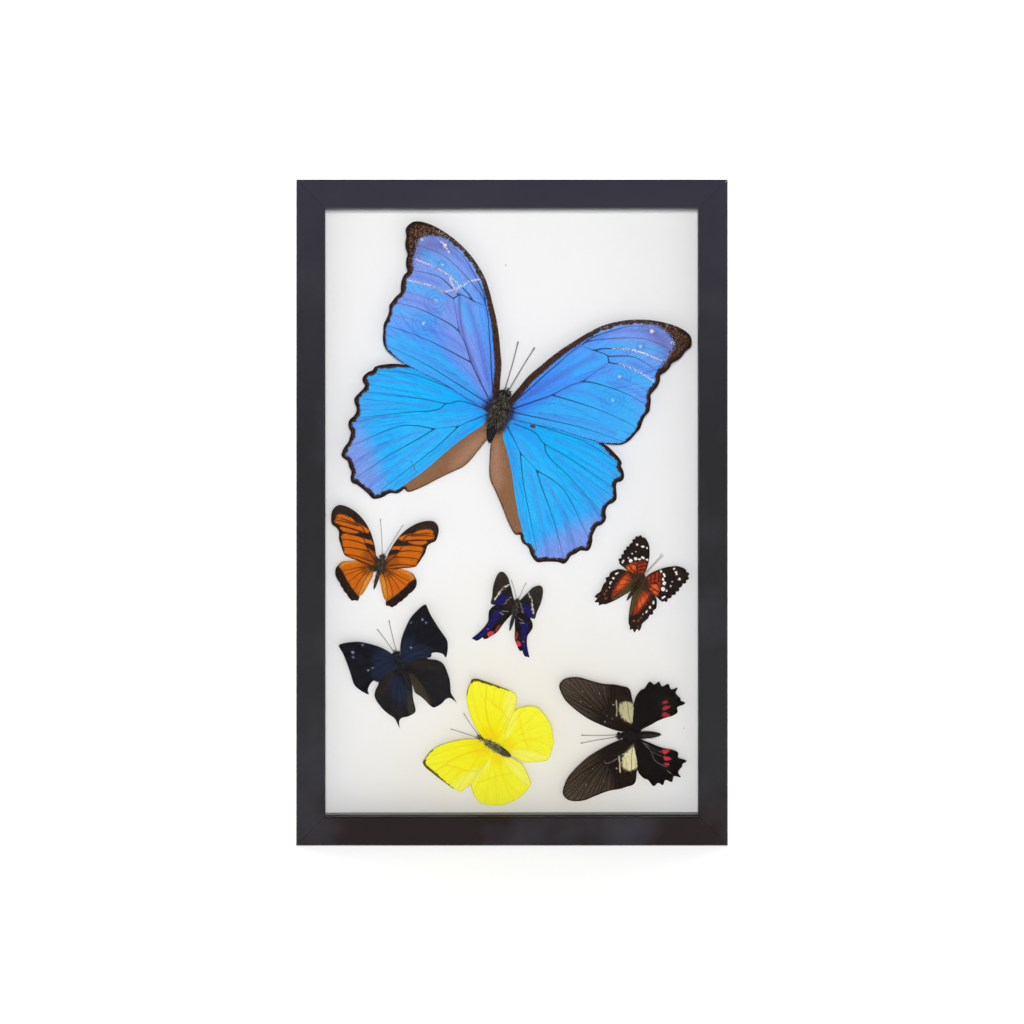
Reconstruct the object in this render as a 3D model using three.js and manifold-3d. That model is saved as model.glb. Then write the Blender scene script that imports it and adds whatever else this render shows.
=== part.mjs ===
// Framed butterfly display: seven spread butterflies on a white card, behind glass,
// in a black mitred shadow-box frame. Millimetres, +Z up, the glass faces -Y, and the
// origin is the middle of the frame's bottom face.
import * as THREE from "three";
import { mergeVertices } from "three/addons/utils/BufferGeometryUtils.js";
import Module from "manifold-3d";

const wasm = await Module();
wasm.setup();

// ---------- driving dimensions ----------

const WIDTH = 184; // frame outside, left to right
const HEIGHT = 284; // frame outside, bottom to top
const DEPTH = 25; // frame outside, front to back
const RAIL = 12.3; // face width of a rail, outer edge to sight edge
const LIP = 3.3; // how far the lip reaches in over the glass
const LIP_THICK = 2.2; // front face to the back of the lip
const EDGE_BREAK = 0.5; // chamfer on the rail's front edges
const GLASS = 2; // glass thickness
const SPACER = 7.2; // depth of the strips that hold the glass off the card
const CARD = 1; // backing card thickness
const BOARD = 3; // back board thickness
const GAP = 0.3; // free gap between pieces that touch
const MITRE_GAP = 0.1; // how far each mitred end stands back from its corner line

// Distances of each layer's front face behind the frame's front face.
const GLASS_AT = LIP_THICK + GAP;
const SPACER_AT = GLASS_AT + GLASS + GAP;
const CARD_AT = SPACER_AT + SPACER + GAP;
const BOARD_AT = CARD_AT + CARD + GAP;
const BOARD_BACK = BOARD_AT + BOARD;
const FRONT_Y = -DEPTH / 2;
const REBATE = RAIL - LIP; // outer edge to the wall that the glass sits inside

// ---------- finishes ----------

const finish = (color, roughness, metalness = 0, extra = {}) =>
  new THREE.MeshStandardMaterial({ color, roughness, metalness, ...extra });
const PAINT = 0x2f2f33;
const FINISHES = {
  rail: () => finish(PAINT, 0.45),
  spacer: () => finish(0x57575a, 0.5),
  glass: () => finish(0xf4f8f6, 0.05, 0, { transparent: true, opacity: 0.15 }),
  card: () => finish(0xf7f7f5, 0.9),
  board: () => finish(0x8a6844, 0.85),
  steel: () => finish(0xb9bcc0, 0.35, 1),
};

// ---------- small helpers ----------

function mesh(name, geometry, material) {
  const piece = new THREE.Mesh(geometry, material);
  piece.name = name;
  return piece;
}

// A box given by its lowest and highest corners.
function boxBetween([x0, y0, z0], [x1, y1, z1]) {
  const box = new THREE.BoxGeometry(x1 - x0, y1 - y0, z1 - z0);
  return box.translate((x0 + x1) / 2, (y0 + y1) / 2, (z0 + z1) / 2);
}

// A closed geometry as a manifold-3d solid, and back.
function solidOf(geometry) {
  const bare = geometry.clone();
  bare.deleteAttribute("normal");
  bare.deleteAttribute("uv");
  const merged = mergeVertices(bare, 1e-4);
  return new wasm.Manifold(
    new wasm.Mesh({
      numProp: 3,
      vertProperties: merged.attributes.position.array,
      triVerts: new Uint32Array(merged.index.array),
    }),
  );
}

function geometryOf(solid) {
  const { vertProperties, triVerts } = solid.getMesh();
  const geometry = new THREE.BufferGeometry();
  geometry.setAttribute("position", new THREE.BufferAttribute(vertProperties, 3));
  geometry.setIndex(new THREE.BufferAttribute(triVerts, 1));
  geometry.computeVertexNormals();
  return geometry;
}

const join = (geometries) =>
  geometryOf(geometries.map(solidOf).reduce((whole, next) => whole.add(next)));

// ---------- frame ----------

// Section of a rail: x runs from the outer edge towards the opening, y from front to back.
const RAIL_SECTION = [
  [EDGE_BREAK, 0],
  [RAIL - EDGE_BREAK, 0],
  [RAIL, EDGE_BREAK],
  [RAIL, LIP_THICK],
  [REBATE, LIP_THICK],
  [REBATE, DEPTH],
  [0, DEPTH],
  [0, EDGE_BREAK],
];

const shapeOf = (points) => new THREE.Shape(points.map(([x, y]) => new THREE.Vector2(x, y)));

// A straight strip whose section is given as above, with both ends mitred.
function mitredStrip(section, length) {
  const strip = new THREE.ExtrudeGeometry(shapeOf(section), { depth: length, bevelEnabled: false });
  const at = strip.attributes.position;
  for (let i = 0; i < at.count; i++) {
    const inset = at.getX(i) + MITRE_GAP;
    at.setZ(i, at.getZ(i) < length / 2 ? inset : length - inset);
  }
  return strip;
}

// The four sides of the frame: where the strip starts and how its section's x, y and length lie.
const SIDES = {
  bottom: { length: WIDTH, start: [-WIDTH / 2, 0], inward: [0, 1], along: [1, 0] },
  right: { length: HEIGHT, start: [WIDTH / 2, 0], inward: [-1, 0], along: [0, 1] },
  top: { length: WIDTH, start: [WIDTH / 2, HEIGHT], inward: [0, -1], along: [-1, 0] },
  left: { length: HEIGHT, start: [-WIDTH / 2, HEIGHT], inward: [1, 0], along: [0, -1] },
};

function sideStrip(name, { length, start, inward, along }, section, material) {
  const strip = mesh(name, mitredStrip(section, length), material);
  const place = new THREE.Matrix4().makeBasis(
    new THREE.Vector3(inward[0], 0, inward[1]),
    new THREE.Vector3(0, 1, 0),
    new THREE.Vector3(along[0], 0, along[1]),
  );
  place.setPosition(start[0], FRONT_Y, start[1]);
  strip.applyMatrix4(place);
  return strip;
}

// The strips between glass and card fill the rebate, flush with the sight edge.
const SPACER_SECTION = [
  [REBATE + GAP, SPACER_AT],
  [RAIL, SPACER_AT],
  [RAIL, SPACER_AT + SPACER],
  [REBATE + GAP, SPACER_AT + SPACER],
];

// A flat sheet that fills the rebate from wall to wall.
function sheet(name, at, thick, material) {
  const edge = REBATE + GAP;
  const low = [-WIDTH / 2 + edge, FRONT_Y + at, edge];
  const high = [WIDTH / 2 - edge, FRONT_Y + at + thick, HEIGHT - edge];
  return mesh(name, boxBetween(low, high), material);
}

// ---------- hardware on the back ----------

const BACK_Y = FRONT_Y + BOARD_BACK; // rear face of the back board
const HANGER = { length: 46, height: 9, thick: 0.8, rise: 1.8, foot: 9, centre: 246 };
const TOOTH = { pitch: 3, depth: 2.2, count: 7 };
const RIVET = { radius: 1.9, thick: 1, sides: 12 };

// A saw-tooth hanger: a strip with flat feet and a raised middle, its lower edge cut in teeth.
function sawtoothHanger() {
  const { length, height, thick, rise, foot } = HANGER;
  const half = length / 2;
  const flat = half - foot;
  const slope = flat - rise;
  const side = [
    [-half, 0],
    [-flat, 0],
    [-slope, rise],
    [slope, rise],
    [flat, 0],
    [half, 0],
  ];
  const outline = [...side, ...side.map(([x, y]) => [x, y + thick]).reverse()];
  const strip = new THREE.ExtrudeGeometry(shapeOf(outline), { depth: height, bevelEnabled: false });
  let bar = solidOf(strip);
  const notch = shapeOf([
    [-TOOTH.pitch / 2, -1],
    [TOOTH.pitch / 2, -1],
    [0, TOOTH.depth],
  ]);
  for (let i = 0; i < TOOTH.count; i++) {
    const cut = new THREE.ExtrudeGeometry(notch, { depth: 2 * rise + 2 * thick, bevelEnabled: false });
    cut.rotateX(Math.PI / 2);
    cut.translate((i - (TOOTH.count - 1) / 2) * TOOTH.pitch, rise + 2 * thick, 0);
    bar = bar.subtract(solidOf(cut));
  }
  return geometryOf(bar).translate(0, BACK_Y + GAP, HANGER.centre - height / 2);
}

function rivet(name, x) {
  const { radius, thick, sides } = RIVET;
  const profile = [
    [0, 0],
    [radius, 0],
    [radius, thick * 0.4],
    [radius * 0.6, thick * 0.9],
    [0, thick],
  ];
  const head = new THREE.LatheGeometry(
    profile.map(([r, y]) => new THREE.Vector2(r, y)),
    sides,
  );
  head.translate(x, BACK_Y + GAP + HANGER.thick + GAP, HANGER.centre);
  return mesh(name, head, FINISHES.steel());
}

// Flat steel points pushed into the rebate wall, which hold the back board in.
const POINT = { width: 6, reach: 8, thick: 0.7 };
const POINT_PLACES = [
  ["left", 0.25],
  ["left", 0.75],
  ["right", 0.25],
  ["right", 0.75],
  ["top", 0.25],
  ["top", 0.75],
  ["bottom", 0.25],
  ["bottom", 0.75],
];

function framePoint(name, side, share) {
  const { length, start, inward, along } = SIDES[side];
  const { width, reach, thick } = POINT;
  const outline = [
    [0, -width / 2],
    [reach - width / 2, -width / 2],
    [reach, 0],
    [reach - width / 2, width / 2],
    [0, width / 2],
  ];
  const plate = new THREE.ExtrudeGeometry(shapeOf(outline), { depth: thick, bevelEnabled: false });
  const place = new THREE.Matrix4().makeBasis(
    new THREE.Vector3(inward[0], 0, inward[1]),
    new THREE.Vector3(along[0], 0, along[1]),
    new THREE.Vector3(0, 1, 0),
  );
  const from = (k) => start[k] + inward[k] * (REBATE + GAP) + along[k] * length * share;
  place.setPosition(from(0), BACK_Y + GAP, from(1));
  const point = mesh(name, plate, FINISHES.steel());
  point.applyMatrix4(place);
  return point;
}

// ---------- butterflies ----------

// Every butterfly is modelled in its own frame: x to its right side, y towards its head and
// z up from the card it rests on. Outlines are of the right wings, in that frame, from the
// front edge's base round to the inner edge's base; `right` and `left` say how each wing was
// set: turned about the thorax (degrees, anticlockwise on the right side), sized and shifted.
const AS_DRAWN = { turn: 0, size: 1, shift: [0, 0] };

const BUTTERFLIES = {
  blue_morpho: {
    color: 0x2f8fe6,
    at: [-4.9, 185.3],
    heading: 17.4,
    thorax: { width: 8.4, length: 11, height: 6.4 },
    head: { at: 7.6, radius: 2.1 },
    abdomen: { tip: -14.4, radius: 2.3, lean: -1 },
    antennae: [[-1.5, 30.7], [6, 30.5]],
    antennaRadius: 0.3,
    legs: 2,
    wingAt: 4.3,
    rise: 0.02,
    fore: {
      outline: [
        [2.8, 7.6], [5, 12.8], [7.4, 18.3], [10.6, 23.4], [14.2, 29], [17.9, 34], [21.4, 38.1],
        [25.8, 43.1], [30.3, 47.5], [35.2, 50.8], [40.3, 53.4], [45.6, 55.3], [51.2, 56.6],
        [56.9, 57.2], [61.7, 57.1], [65.5, 56.3], [68, 55], [69.3, 53.1], [69.7, 50.5],
        [68.1, 48], [67.2, 45.3], [66, 43.4], [64, 41.3], [63.7, 39.5], [62.6, 37.1],
        [60.9, 35], [61.4, 33.1], [61.2, 30.4], [60.2, 27.7], [59.4, 25.7], [60.2, 23.5],
        [60.7, 20.8], [61, 18.8], [59.8, 16], [59.5, 13.2], [59.4, 10.6], [58.2, 7.8],
        [56.8, 4.7], [55.1, 2.6], [53.1, 1.3], [49.8, 0.4], [45.9, -0.2], [36.5, -0.5],
        [25.8, -0.4], [18.8, -1], [11.9, -1.7], [2.5, -2.4],
      ],
      right: AS_DRAWN,
      left: { turn: 10, size: 1.013, shift: [1.2, -0.3] },
    },
    hind: {
      outline: [
        [2.1, 0.6], [8.8, 3.7], [18.9, 4.6], [29.6, 3.4], [39.1, 1.9], [46.6, -0.2],
        [49.7, -1.3], [52.5, -2.8], [54.9, -4.3], [56.4, -5.8], [56.4, -7.1], [57.9, -8.7],
        [58.9, -10.5], [59.1, -12.2], [58.2, -13.6], [57, -14.3], [57, -15.9], [57.8, -18],
        [58.6, -20.1], [58.8, -21.6], [57.8, -23.3], [56.5, -24.4], [55.9, -26.2],
        [56.1, -28.3], [57, -30.1], [56.9, -32.2], [55.8, -33.9], [54.5, -35], [54, -37.2],
        [53.8, -39.4], [54.4, -41.7], [54.5, -44.5], [53.6, -46.2], [50.8, -46.9],
        [49.3, -48.7], [47.5, -50.4], [46.9, -52.7], [45.6, -54.5], [43.2, -54.5],
        [40.3, -55.2], [37.3, -56.2], [34.8, -57.2], [32.7, -56.4], [30.8, -54.7],
        [29.5, -52.8], [28.1, -51.8], [26.3, -51.3], [24.9, -49.8], [24.1, -48.2],
        [22.7, -48.7], [20.8, -47.9], [16.6, -43.4], [12.8, -38.6], [8.4, -33.5], [5.2, -29.9],
        [3.4, -26.2], [2, -21.1], [0.9, -16.9], [0.6, -13.7], [2.6, -10.3], [3.7, -4.7],
      ],
      right: AS_DRAWN,
      left: { turn: 6.2, size: 1.011, shift: [-0.4, 1.6] },
    },
  },

  orange_longwing: {
    color: 0xd9781a,
    at: [-55.9, 118.8],
    heading: 15.1,
    thorax: { width: 2.9, length: 5.6, height: 2.8 },
    head: { at: 3.8, radius: 1.1 },
    abdomen: { tip: -10.7, radius: 0.85, lean: 0 },
    antennae: [[-5.3, 19.4], [4.8, 19.4]],
    antennaRadius: 0.2,
    legs: 2,
    wingAt: 1.9,
    rise: 0.04,
    fore: {
      outline: [
        [1.7, 3.6], [2.2, 7.3], [3.3, 11.2], [4.8, 14.8], [7, 18.2], [9.8, 21.1], [12.6, 23],
        [15.1, 24], [17.2, 24.2], [18.9, 23.2], [20, 21.4], [20.3, 18.9], [20, 16.4],
        [18.3, 14.9], [17.2, 13.5], [17, 11.7], [17, 10.2], [16.3, 7.9], [15.5, 5.5],
        [14.6, 3.5], [12.4, 2.4], [9.1, 1.2], [6, -0.2],
      ],
      right: AS_DRAWN,
      left: { turn: -14.6, size: 1.039, shift: [0.4, 0.7] },
    },
    hind: {
      outline: [
        [3.3, 1.1], [7.1, 1.9], [9.2, 1], [12.1, 0.7], [14.4, 0.1], [15.8, -1.2], [16.8, -2.7],
        [17, -4.8], [16.3, -6.8], [14.8, -9.3], [13.3, -11.8], [11.7, -13.7], [9.9, -16],
        [8.4, -16], [7, -16.2], [5.7, -13.9], [4.2, -11.8], [2.3, -8], [1.1, -5.5],
        [0.8, -3.7],
      ],
      right: AS_DRAWN,
      left: { turn: -12.5, size: 1.013, shift: [2.1, 0.2] },
    },
  },

  metalmark: {
    color: 0x26244a,
    at: [1.8, 100.2],
    heading: 14.3,
    thorax: { width: 2.9, length: 5, height: 2.6 },
    head: { at: 3.3, radius: 0.95 },
    abdomen: { tip: -10, radius: 0.8, lean: 0 },
    antennae: [[-4.8, 11.5], [1.7, 12]],
    antennaRadius: 0.18,
    legs: 2,
    wingAt: 1.8,
    rise: 0.05,
    fore: {
      outline: [
        [1, 3.8], [2.2, 6.1], [3.5, 8.3], [4.8, 10.4], [6.2, 11.6], [7.5, 12.2], [8.7, 11.8],
        [9.5, 10.4], [9.9, 7.8], [9.9, 4.8], [9.5, 2.3], [9.2, 0.2], [9.1, -2], [7.7, -2.3],
        [4.5, -1.5],
      ],
      right: AS_DRAWN,
      left: { turn: 0.4, size: 1.013, shift: [1.6, 1.6] },
    },
    hind: {
      outline: [
        [3.7, -1.1], [6.3, -1.7], [7.5, -2.9], [8.7, -4.5], [9.1, -6.4], [8.6, -8.1],
        [7.9, -10], [8.2, -12.4], [9, -14.8], [10, -17], [10.9, -18.8], [9.7, -18.9], [9, -19],
        [8.1, -18.1], [7.2, -16.8], [6.6, -17.2], [5.5, -16.6], [4.7, -15.4], [3.4, -13.6],
        [2.6, -11.7], [2.1, -9.1], [1.3, -6.3],
      ],
      right: AS_DRAWN,
      left: { turn: 9.5, size: 1.103, shift: [-0.4, 1.5] },
    },
  },

  red_peacock: {
    color: 0x5a2a1c,
    at: [54.2, 110.9],
    heading: 33.5,
    thorax: { width: 3.2, length: 5.4, height: 2.8 },
    head: { at: 3.6, radius: 1.05 },
    abdomen: { tip: -8.7, radius: 0.85, lean: 0 },
    antennae: [[1.5, 16.4], [2.4, 16]],
    antennaRadius: 0.2,
    legs: 2,
    wingAt: 1.9,
    rise: 0.04,
    fore: {
      outline: [
        [1.1, 3.9], [1.8, 6.3], [3.2, 8.7], [5, 11.2], [7, 13.3], [9.5, 15.3], [11.9, 16.2],
        [14.1, 16.3], [15.6, 15.8], [16.5, 14.8], [17, 13.2], [16.8, 11.2], [16.2, 9.3],
        [16.3, 7.9], [16.1, 5.9], [15.5, 3.9], [14.9, 2], [14.5, 0.2], [13.6, -0.7],
        [11.8, -0.8], [10, -0.5], [6.2, -0.5],
      ],
      right: AS_DRAWN,
      left: { turn: 13.5, size: 0.907, shift: [0, 0.8] },
    },
    hind: {
      outline: [
        [3.3, 0], [7.2, 0], [10.1, -1.1], [11.5, -2.9], [12.3, -4.7], [11.8, -6.2],
        [12.6, -7.5], [11.6, -8.5], [11.8, -10], [11.4, -11.7], [11, -13.5], [11.5, -15],
        [11.6, -16.7], [10.4, -16.5], [10.3, -18.4], [8.8, -17.6], [8.1, -18.5], [7.1, -17.2],
        [6, -16.4], [4.3, -13.7], [2.9, -10.9], [1.5, -7.6], [0.5, -4.5],
      ],
      right: AS_DRAWN,
      left: { turn: 2.6, size: 1.024, shift: [-0.3, 1.5] },
    },
  },

  leafwing: {
    color: 0x1e1e26,
    at: [-47.3, 76],
    heading: -21.6,
    thorax: { width: 4.4, length: 7, height: 3.2 },
    head: { at: 5, radius: 1.4 },
    abdomen: { tip: -13.2, radius: 1.25, lean: 0.4 },
    antennae: [[-3.7, 18.2], [2.5, 19.9]],
    antennaRadius: 0.2,
    legs: 2,
    wingAt: 2.3,
    rise: 0.03,
    fore: {
      outline: [
        [1.7, 4.8], [2.9, 7.7], [5, 11], [8, 14.3], [11.3, 17.2], [14.9, 19.1], [17.8, 20.2],
        [19.5, 20.3], [19.7, 18.9], [19.8, 15.9], [20.4, 12], [21.2, 7.9], [22, 4.7],
        [22.3, 2.1], [21.1, -1.2], [19.2, -4], [18.5, -2.2], [16.6, -0.7], [14.3, -0.1],
        [12.9, -1.5], [7.5, 0],
      ],
      right: AS_DRAWN,
      left: { turn: -8.8, size: 1.012, shift: [-1.2, 0.4] },
    },
    hind: {
      outline: [
        [5.6, 2.2], [9.9, 0], [12.3, -2.1], [14.7, -3.4], [16.5, -5], [17.3, -7.2],
        [17.4, -10.1], [17.2, -13.3], [16.5, -16], [15.6, -18.9], [15.9, -21.1], [16.3, -23.8],
        [15.6, -22.5], [14.3, -20.9], [12.4, -20.8], [10.3, -21.8], [6.8, -22.3], [5.3, -20.9],
        [4.2, -18.2], [2.8, -15.5], [1.4, -13.3], [1.4, -9.6], [0.4, -5.7],
      ],
      right: AS_DRAWN,
      left: { turn: -15.1, size: 0.945, shift: [1.3, 0.7] },
    },
  },

  yellow_sulphur: {
    color: 0xf2ee1e,
    at: [-9, 41.9],
    heading: -58.7,
    thorax: { width: 4, length: 7, height: 3.2 },
    head: { at: 5, radius: 1.3 },
    abdomen: { tip: -10.6, radius: 1.3, lean: 0 },
    antennae: [[-3.2, 18], [5.5, 16.7]],
    antennaRadius: 0.2,
    legs: 3,
    wingAt: 2.3,
    rise: 0.03,
    fore: {
      outline: [
        [0.5, 2.3], [0.7, 5], [2.1, 8], [4.3, 11.2], [7.6, 14.8], [10.8, 17.6], [13.8, 19.5],
        [16.7, 20.5], [19.6, 20.7], [21.5, 20.7], [22.7, 18.8], [23.2, 15.7], [23.7, 12.1],
        [24, 8.6], [24.4, 4.6], [24.3, 1.9], [23.5, 0.1], [20.7, -1], [18.8, -1.8], [12.5, -1],
      ],
      right: { turn: 5.3, size: 0.945, shift: [0.5, -0.7] },
      left: AS_DRAWN,
    },
    hind: {
      outline: [
        [6, -0.9], [13.4, -0.3], [18.8, -1.8], [21.1, -3.9], [22.6, -5.9], [23.6, -8.9],
        [23.2, -11.5], [21.7, -14.8], [19.5, -18.1], [16.5, -20.5], [13, -22.6], [9.1, -23.5],
        [5.5, -23.7], [3.7, -21.6], [1.5, -18.4], [0.1, -15.2], [0.1, -11.4], [0.3, -6.6],
      ],
      right: { turn: 4.1, size: 0.997, shift: [-0.2, -1.3] },
      left: AS_DRAWN,
    },
  },

  ruby_swallowtail: {
    color: 0x2b2320,
    at: [51.1, 45.6],
    heading: -91.9,
    thorax: { width: 4.2, length: 7.4, height: 3.3 },
    head: { at: 5, radius: 1.25 },
    abdomen: { tip: -12.8, radius: 1.3, lean: 0 },
    antennae: [[-2.6, 21.7], [0.9, 21.3]],
    antennaRadius: 0.2,
    legs: 3,
    wingAt: 2.4,
    rise: 0.03,
    fore: {
      outline: [
        [1.2, 0.5], [1.8, 4.9], [3.3, 8.9], [5.5, 13.4], [8.1, 17.9], [11.2, 21.9],
        [14.3, 25.2], [17.4, 27.8], [20.6, 29.3], [23.4, 30], [25.4, 29.2], [26.8, 27.3],
        [27.3, 24.1], [26.9, 20.5], [25.4, 16.4], [24.1, 12.8], [23.2, 9.5], [22.7, 5.5],
        [21.8, 2.3], [21.1, -0.1], [19.4, -1.4], [16, -1.9], [12, -2.4], [6.8, -1.5],
      ],
      right: { turn: 1.9, size: 0.964, shift: [0.5, 0.3] },
      left: AS_DRAWN,
    },
    hind: {
      outline: [
        [4.1, -0.3], [9.7, -0.5], [15.2, -2.3], [17.2, -3.5], [18.7, -5], [19.3, -6.6],
        [22, -8.9], [20.7, -10.9], [21.7, -12.9], [19.6, -14.1], [20.5, -16.8], [18.1, -17.8],
        [18.6, -20.6], [16.6, -19.6], [15, -20.5], [14, -21.5], [13, -21.6], [11.9, -23.4],
        [11.1, -22.4], [10.2, -19.9], [8, -19.8], [6.7, -17.4], [6, -14.2], [4.9, -11],
        [3.4, -7.9], [2.1, -4.7],
      ],
      right: { turn: 2.2, size: 1.007, shift: [0.4, -0.6] },
      left: AS_DRAWN,
    },
  },
};

const WING_THICK = 0.4;
const WING_STEP = 0.45; // each hindwing lies this far below the forewing that covers its front edge

// Where each pair of wings is rooted in the thorax, as shares of its width and length.
const ROOTS = {
  fore: { in: 0.12, front: 0.3, back: -0.15 },
  hind: { in: 0.12, front: -0.02, back: -0.33 },
};

// One wing as a thin plate that rises evenly from its root in the thorax outwards.
function wing(outline, { turn, size, shift }, side, root, thorax, bottom, rise) {
  const angle = THREE.MathUtils.degToRad(turn);
  const set = outline.map(([x, y]) => {
    const out = size * (x * Math.cos(angle) - y * Math.sin(angle)) + shift[0];
    const up = size * (x * Math.sin(angle) + y * Math.cos(angle)) + shift[1];
    return [side * out, up];
  });
  const rootX = side * root.in * thorax.width;
  set.push([rootX, root.back * thorax.length], [rootX, root.front * thorax.length]);
  const plate = new THREE.ExtrudeGeometry(shapeOf(set), { depth: WING_THICK, bevelEnabled: false });
  const at = plate.attributes.position;
  for (let i = 0; i < at.count; i++)
    at.setZ(i, at.getZ(i) + bottom + rise * Math.abs(at.getX(i)));
  return plate;
}

function ellipsoid([x, y, z], [a, b, c], around, rings) {
  const ball = new THREE.SphereGeometry(1, around, rings).rotateX(Math.PI / 2);
  return ball.scale(a, b, c).translate(x, y, z);
}

// A thin tube of few sides through points.
function tube(points, radius, sides, steps) {
  const section = new THREE.Shape();
  for (let i = 0; i < sides; i++) {
    const turn = (2 * Math.PI * i) / sides;
    const corner = [radius * Math.cos(turn), radius * Math.sin(turn)];
    if (i === 0) section.moveTo(...corner);
    else section.lineTo(...corner);
  }
  const path = new THREE.CatmullRomCurve3(points.map((point) => new THREE.Vector3(...point)));
  return new THREE.ExtrudeGeometry(section, { steps, extrudePath: path, bevelEnabled: false });
}

// The abdomen: a spindle with ringed segments that tapers to its tip.
function abdomen({ tip, radius, lean }, { height, length }) {
  const start = -length * 0.25;
  const rings = 3;
  const profile = [new THREE.Vector2(0, 0)];
  for (let i = 0; i < rings; i++) {
    const share = i / rings;
    const r = radius * (1 - 0.55 * share ** 3);
    profile.push(new THREE.Vector2(r * 0.9, share), new THREE.Vector2(r, share + 0.6 / rings));
  }
  profile.push(new THREE.Vector2(0, 1));
  const spindle = new THREE.LatheGeometry(profile, 7);
  spindle.scale(1, start - tip, 1).rotateX(Math.PI);
  const at = spindle.attributes.position;
  for (let i = 0; i < at.count; i++) {
    const share = -at.getY(i) / (start - tip);
    at.setX(i, at.getX(i) + lean * Math.sin(Math.PI * share));
  }
  return spindle.translate(0, start, Math.max(radius, height * 0.45));
}

function butterfly(name, spec) {
  const { thorax, head, antennae, antennaRadius, wingAt, rise } = spec;
  const middle = thorax.height / 2;
  const [halfWide, halfLong] = [thorax.width / 2, thorax.length / 2];
  const pieces = [
    ellipsoid([0, 0, middle], [halfWide, halfLong, middle], 8, 5),
    ellipsoid([0, head.at, middle], [head.radius, head.radius * 0.85, head.radius * 0.9], 6, 4),
    abdomen(spec.abdomen, thorax),
  ];
  // The neck keeps head and thorax one body.
  const neck = [
    [0, halfLong * 0.5, middle],
    [0, head.at, middle],
  ];
  pieces.push(tube(neck, head.radius * 0.6, 5, 1));
  for (const side of [-1, 1]) {
    const { fore, hind } = spec;
    const [foreSet, hindSet] = side > 0 ? [fore.right, hind.right] : [fore.left, hind.left];
    pieces.push(wing(fore.outline, foreSet, side, ROOTS.fore, thorax, wingAt, rise));
    pieces.push(wing(hind.outline, hindSet, side, ROOTS.hind, thorax, wingAt - WING_STEP, rise));
    const eye = head.radius * 0.55;
    pieces.push(ellipsoid([side * head.radius * 0.7, head.at + eye * 0.3, middle], [eye, eye, eye], 4, 3));
    // Legs fold back under the thorax: a knee out to the side, the foot drawn in behind.
    for (let i = 0; i < spec.legs; i++) {
      const y = halfLong * (0.5 - 0.45 * i);
      const r = antennaRadius * 1.1;
      const leg = [
        [side * halfWide * 0.4, y, middle * 0.55],
        [side * halfWide * 1.5, y + halfLong * 0.15, middle * 0.45],
        [side * halfWide * 1.1, y - halfLong * 0.9, r * 1.4],
      ];
      pieces.push(tube(leg, r, 4, 2));
    }
  }
  for (const [i, [x, y]] of antennae.entries()) {
    const side = i === 0 ? -1 : 1;
    const root = [side * head.radius * 0.35, head.at + head.radius * 0.4, middle + head.radius * 0.3];
    const tip = [x, y, wingAt + 0.6];
    const bow = [(root[0] + x) / 2 - side * 0.2, (root[1] + y) / 2, (root[2] + tip[2]) / 2 + 0.3];
    pieces.push(tube([root, bow, tip], antennaRadius, 4, 2));
    const club = antennaRadius * 1.7;
    pieces.push(ellipsoid(tip, [club, club * 2.2, club], 4, 3));
  }
  const specimen = mesh(name, join(pieces), finish(spec.color, 0.6));
  specimen.rotation.z = -THREE.MathUtils.degToRad(spec.heading);
  return specimen;
}

// ---------- assembly ----------

const display = new THREE.Group();

for (const [side, placing] of Object.entries(SIDES)) {
  display.add(sideStrip(`frame_rail_${side}`, placing, RAIL_SECTION, FINISHES.rail()));
  display.add(sideStrip(`spacer_${side}`, placing, SPACER_SECTION, FINISHES.spacer()));
}
display.add(sheet("glass_pane", GLASS_AT, GLASS, FINISHES.glass()));
display.add(sheet("backing_card", CARD_AT, CARD, FINISHES.card()));
display.add(sheet("back_board", BOARD_AT, BOARD, FINISHES.board()));

display.add(mesh("sawtooth_hanger", sawtoothHanger(), FINISHES.steel()));
const rivetX = (HANGER.length - HANGER.foot) / 2;
display.add(rivet("hanger_rivet_left", -rivetX), rivet("hanger_rivet_right", rivetX));

const counts = {};
for (const [side, share] of POINT_PLACES) {
  counts[side] = (counts[side] ?? 0) + 1;
  display.add(framePoint(`frame_point_${side}_${counts[side]}`, side, share));
}

// The card's own frame: x across, y up the frame and z out of the card towards the glass.
const onCard = new THREE.Group();
onCard.position.y = FRONT_Y + CARD_AT - GAP;
onCard.rotation.x = Math.PI / 2;
for (const [name, spec] of Object.entries(BUTTERFLIES)) {
  const specimen = butterfly(name, spec);
  specimen.position.set(spec.at[0], spec.at[1], 0);
  onCard.add(specimen);
}
display.add(onCard);

export default display;
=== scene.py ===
"""Framed butterfly display: seven spread butterflies on a white card, behind glass, in a
black mitred shadow-box frame. The scene is in metres; the butterflies' own data are in mm."""

import math

import bmesh
import bpy
import numpy as np
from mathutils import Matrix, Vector
from mathutils.geometry import delaunay_2d_cdt


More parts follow.
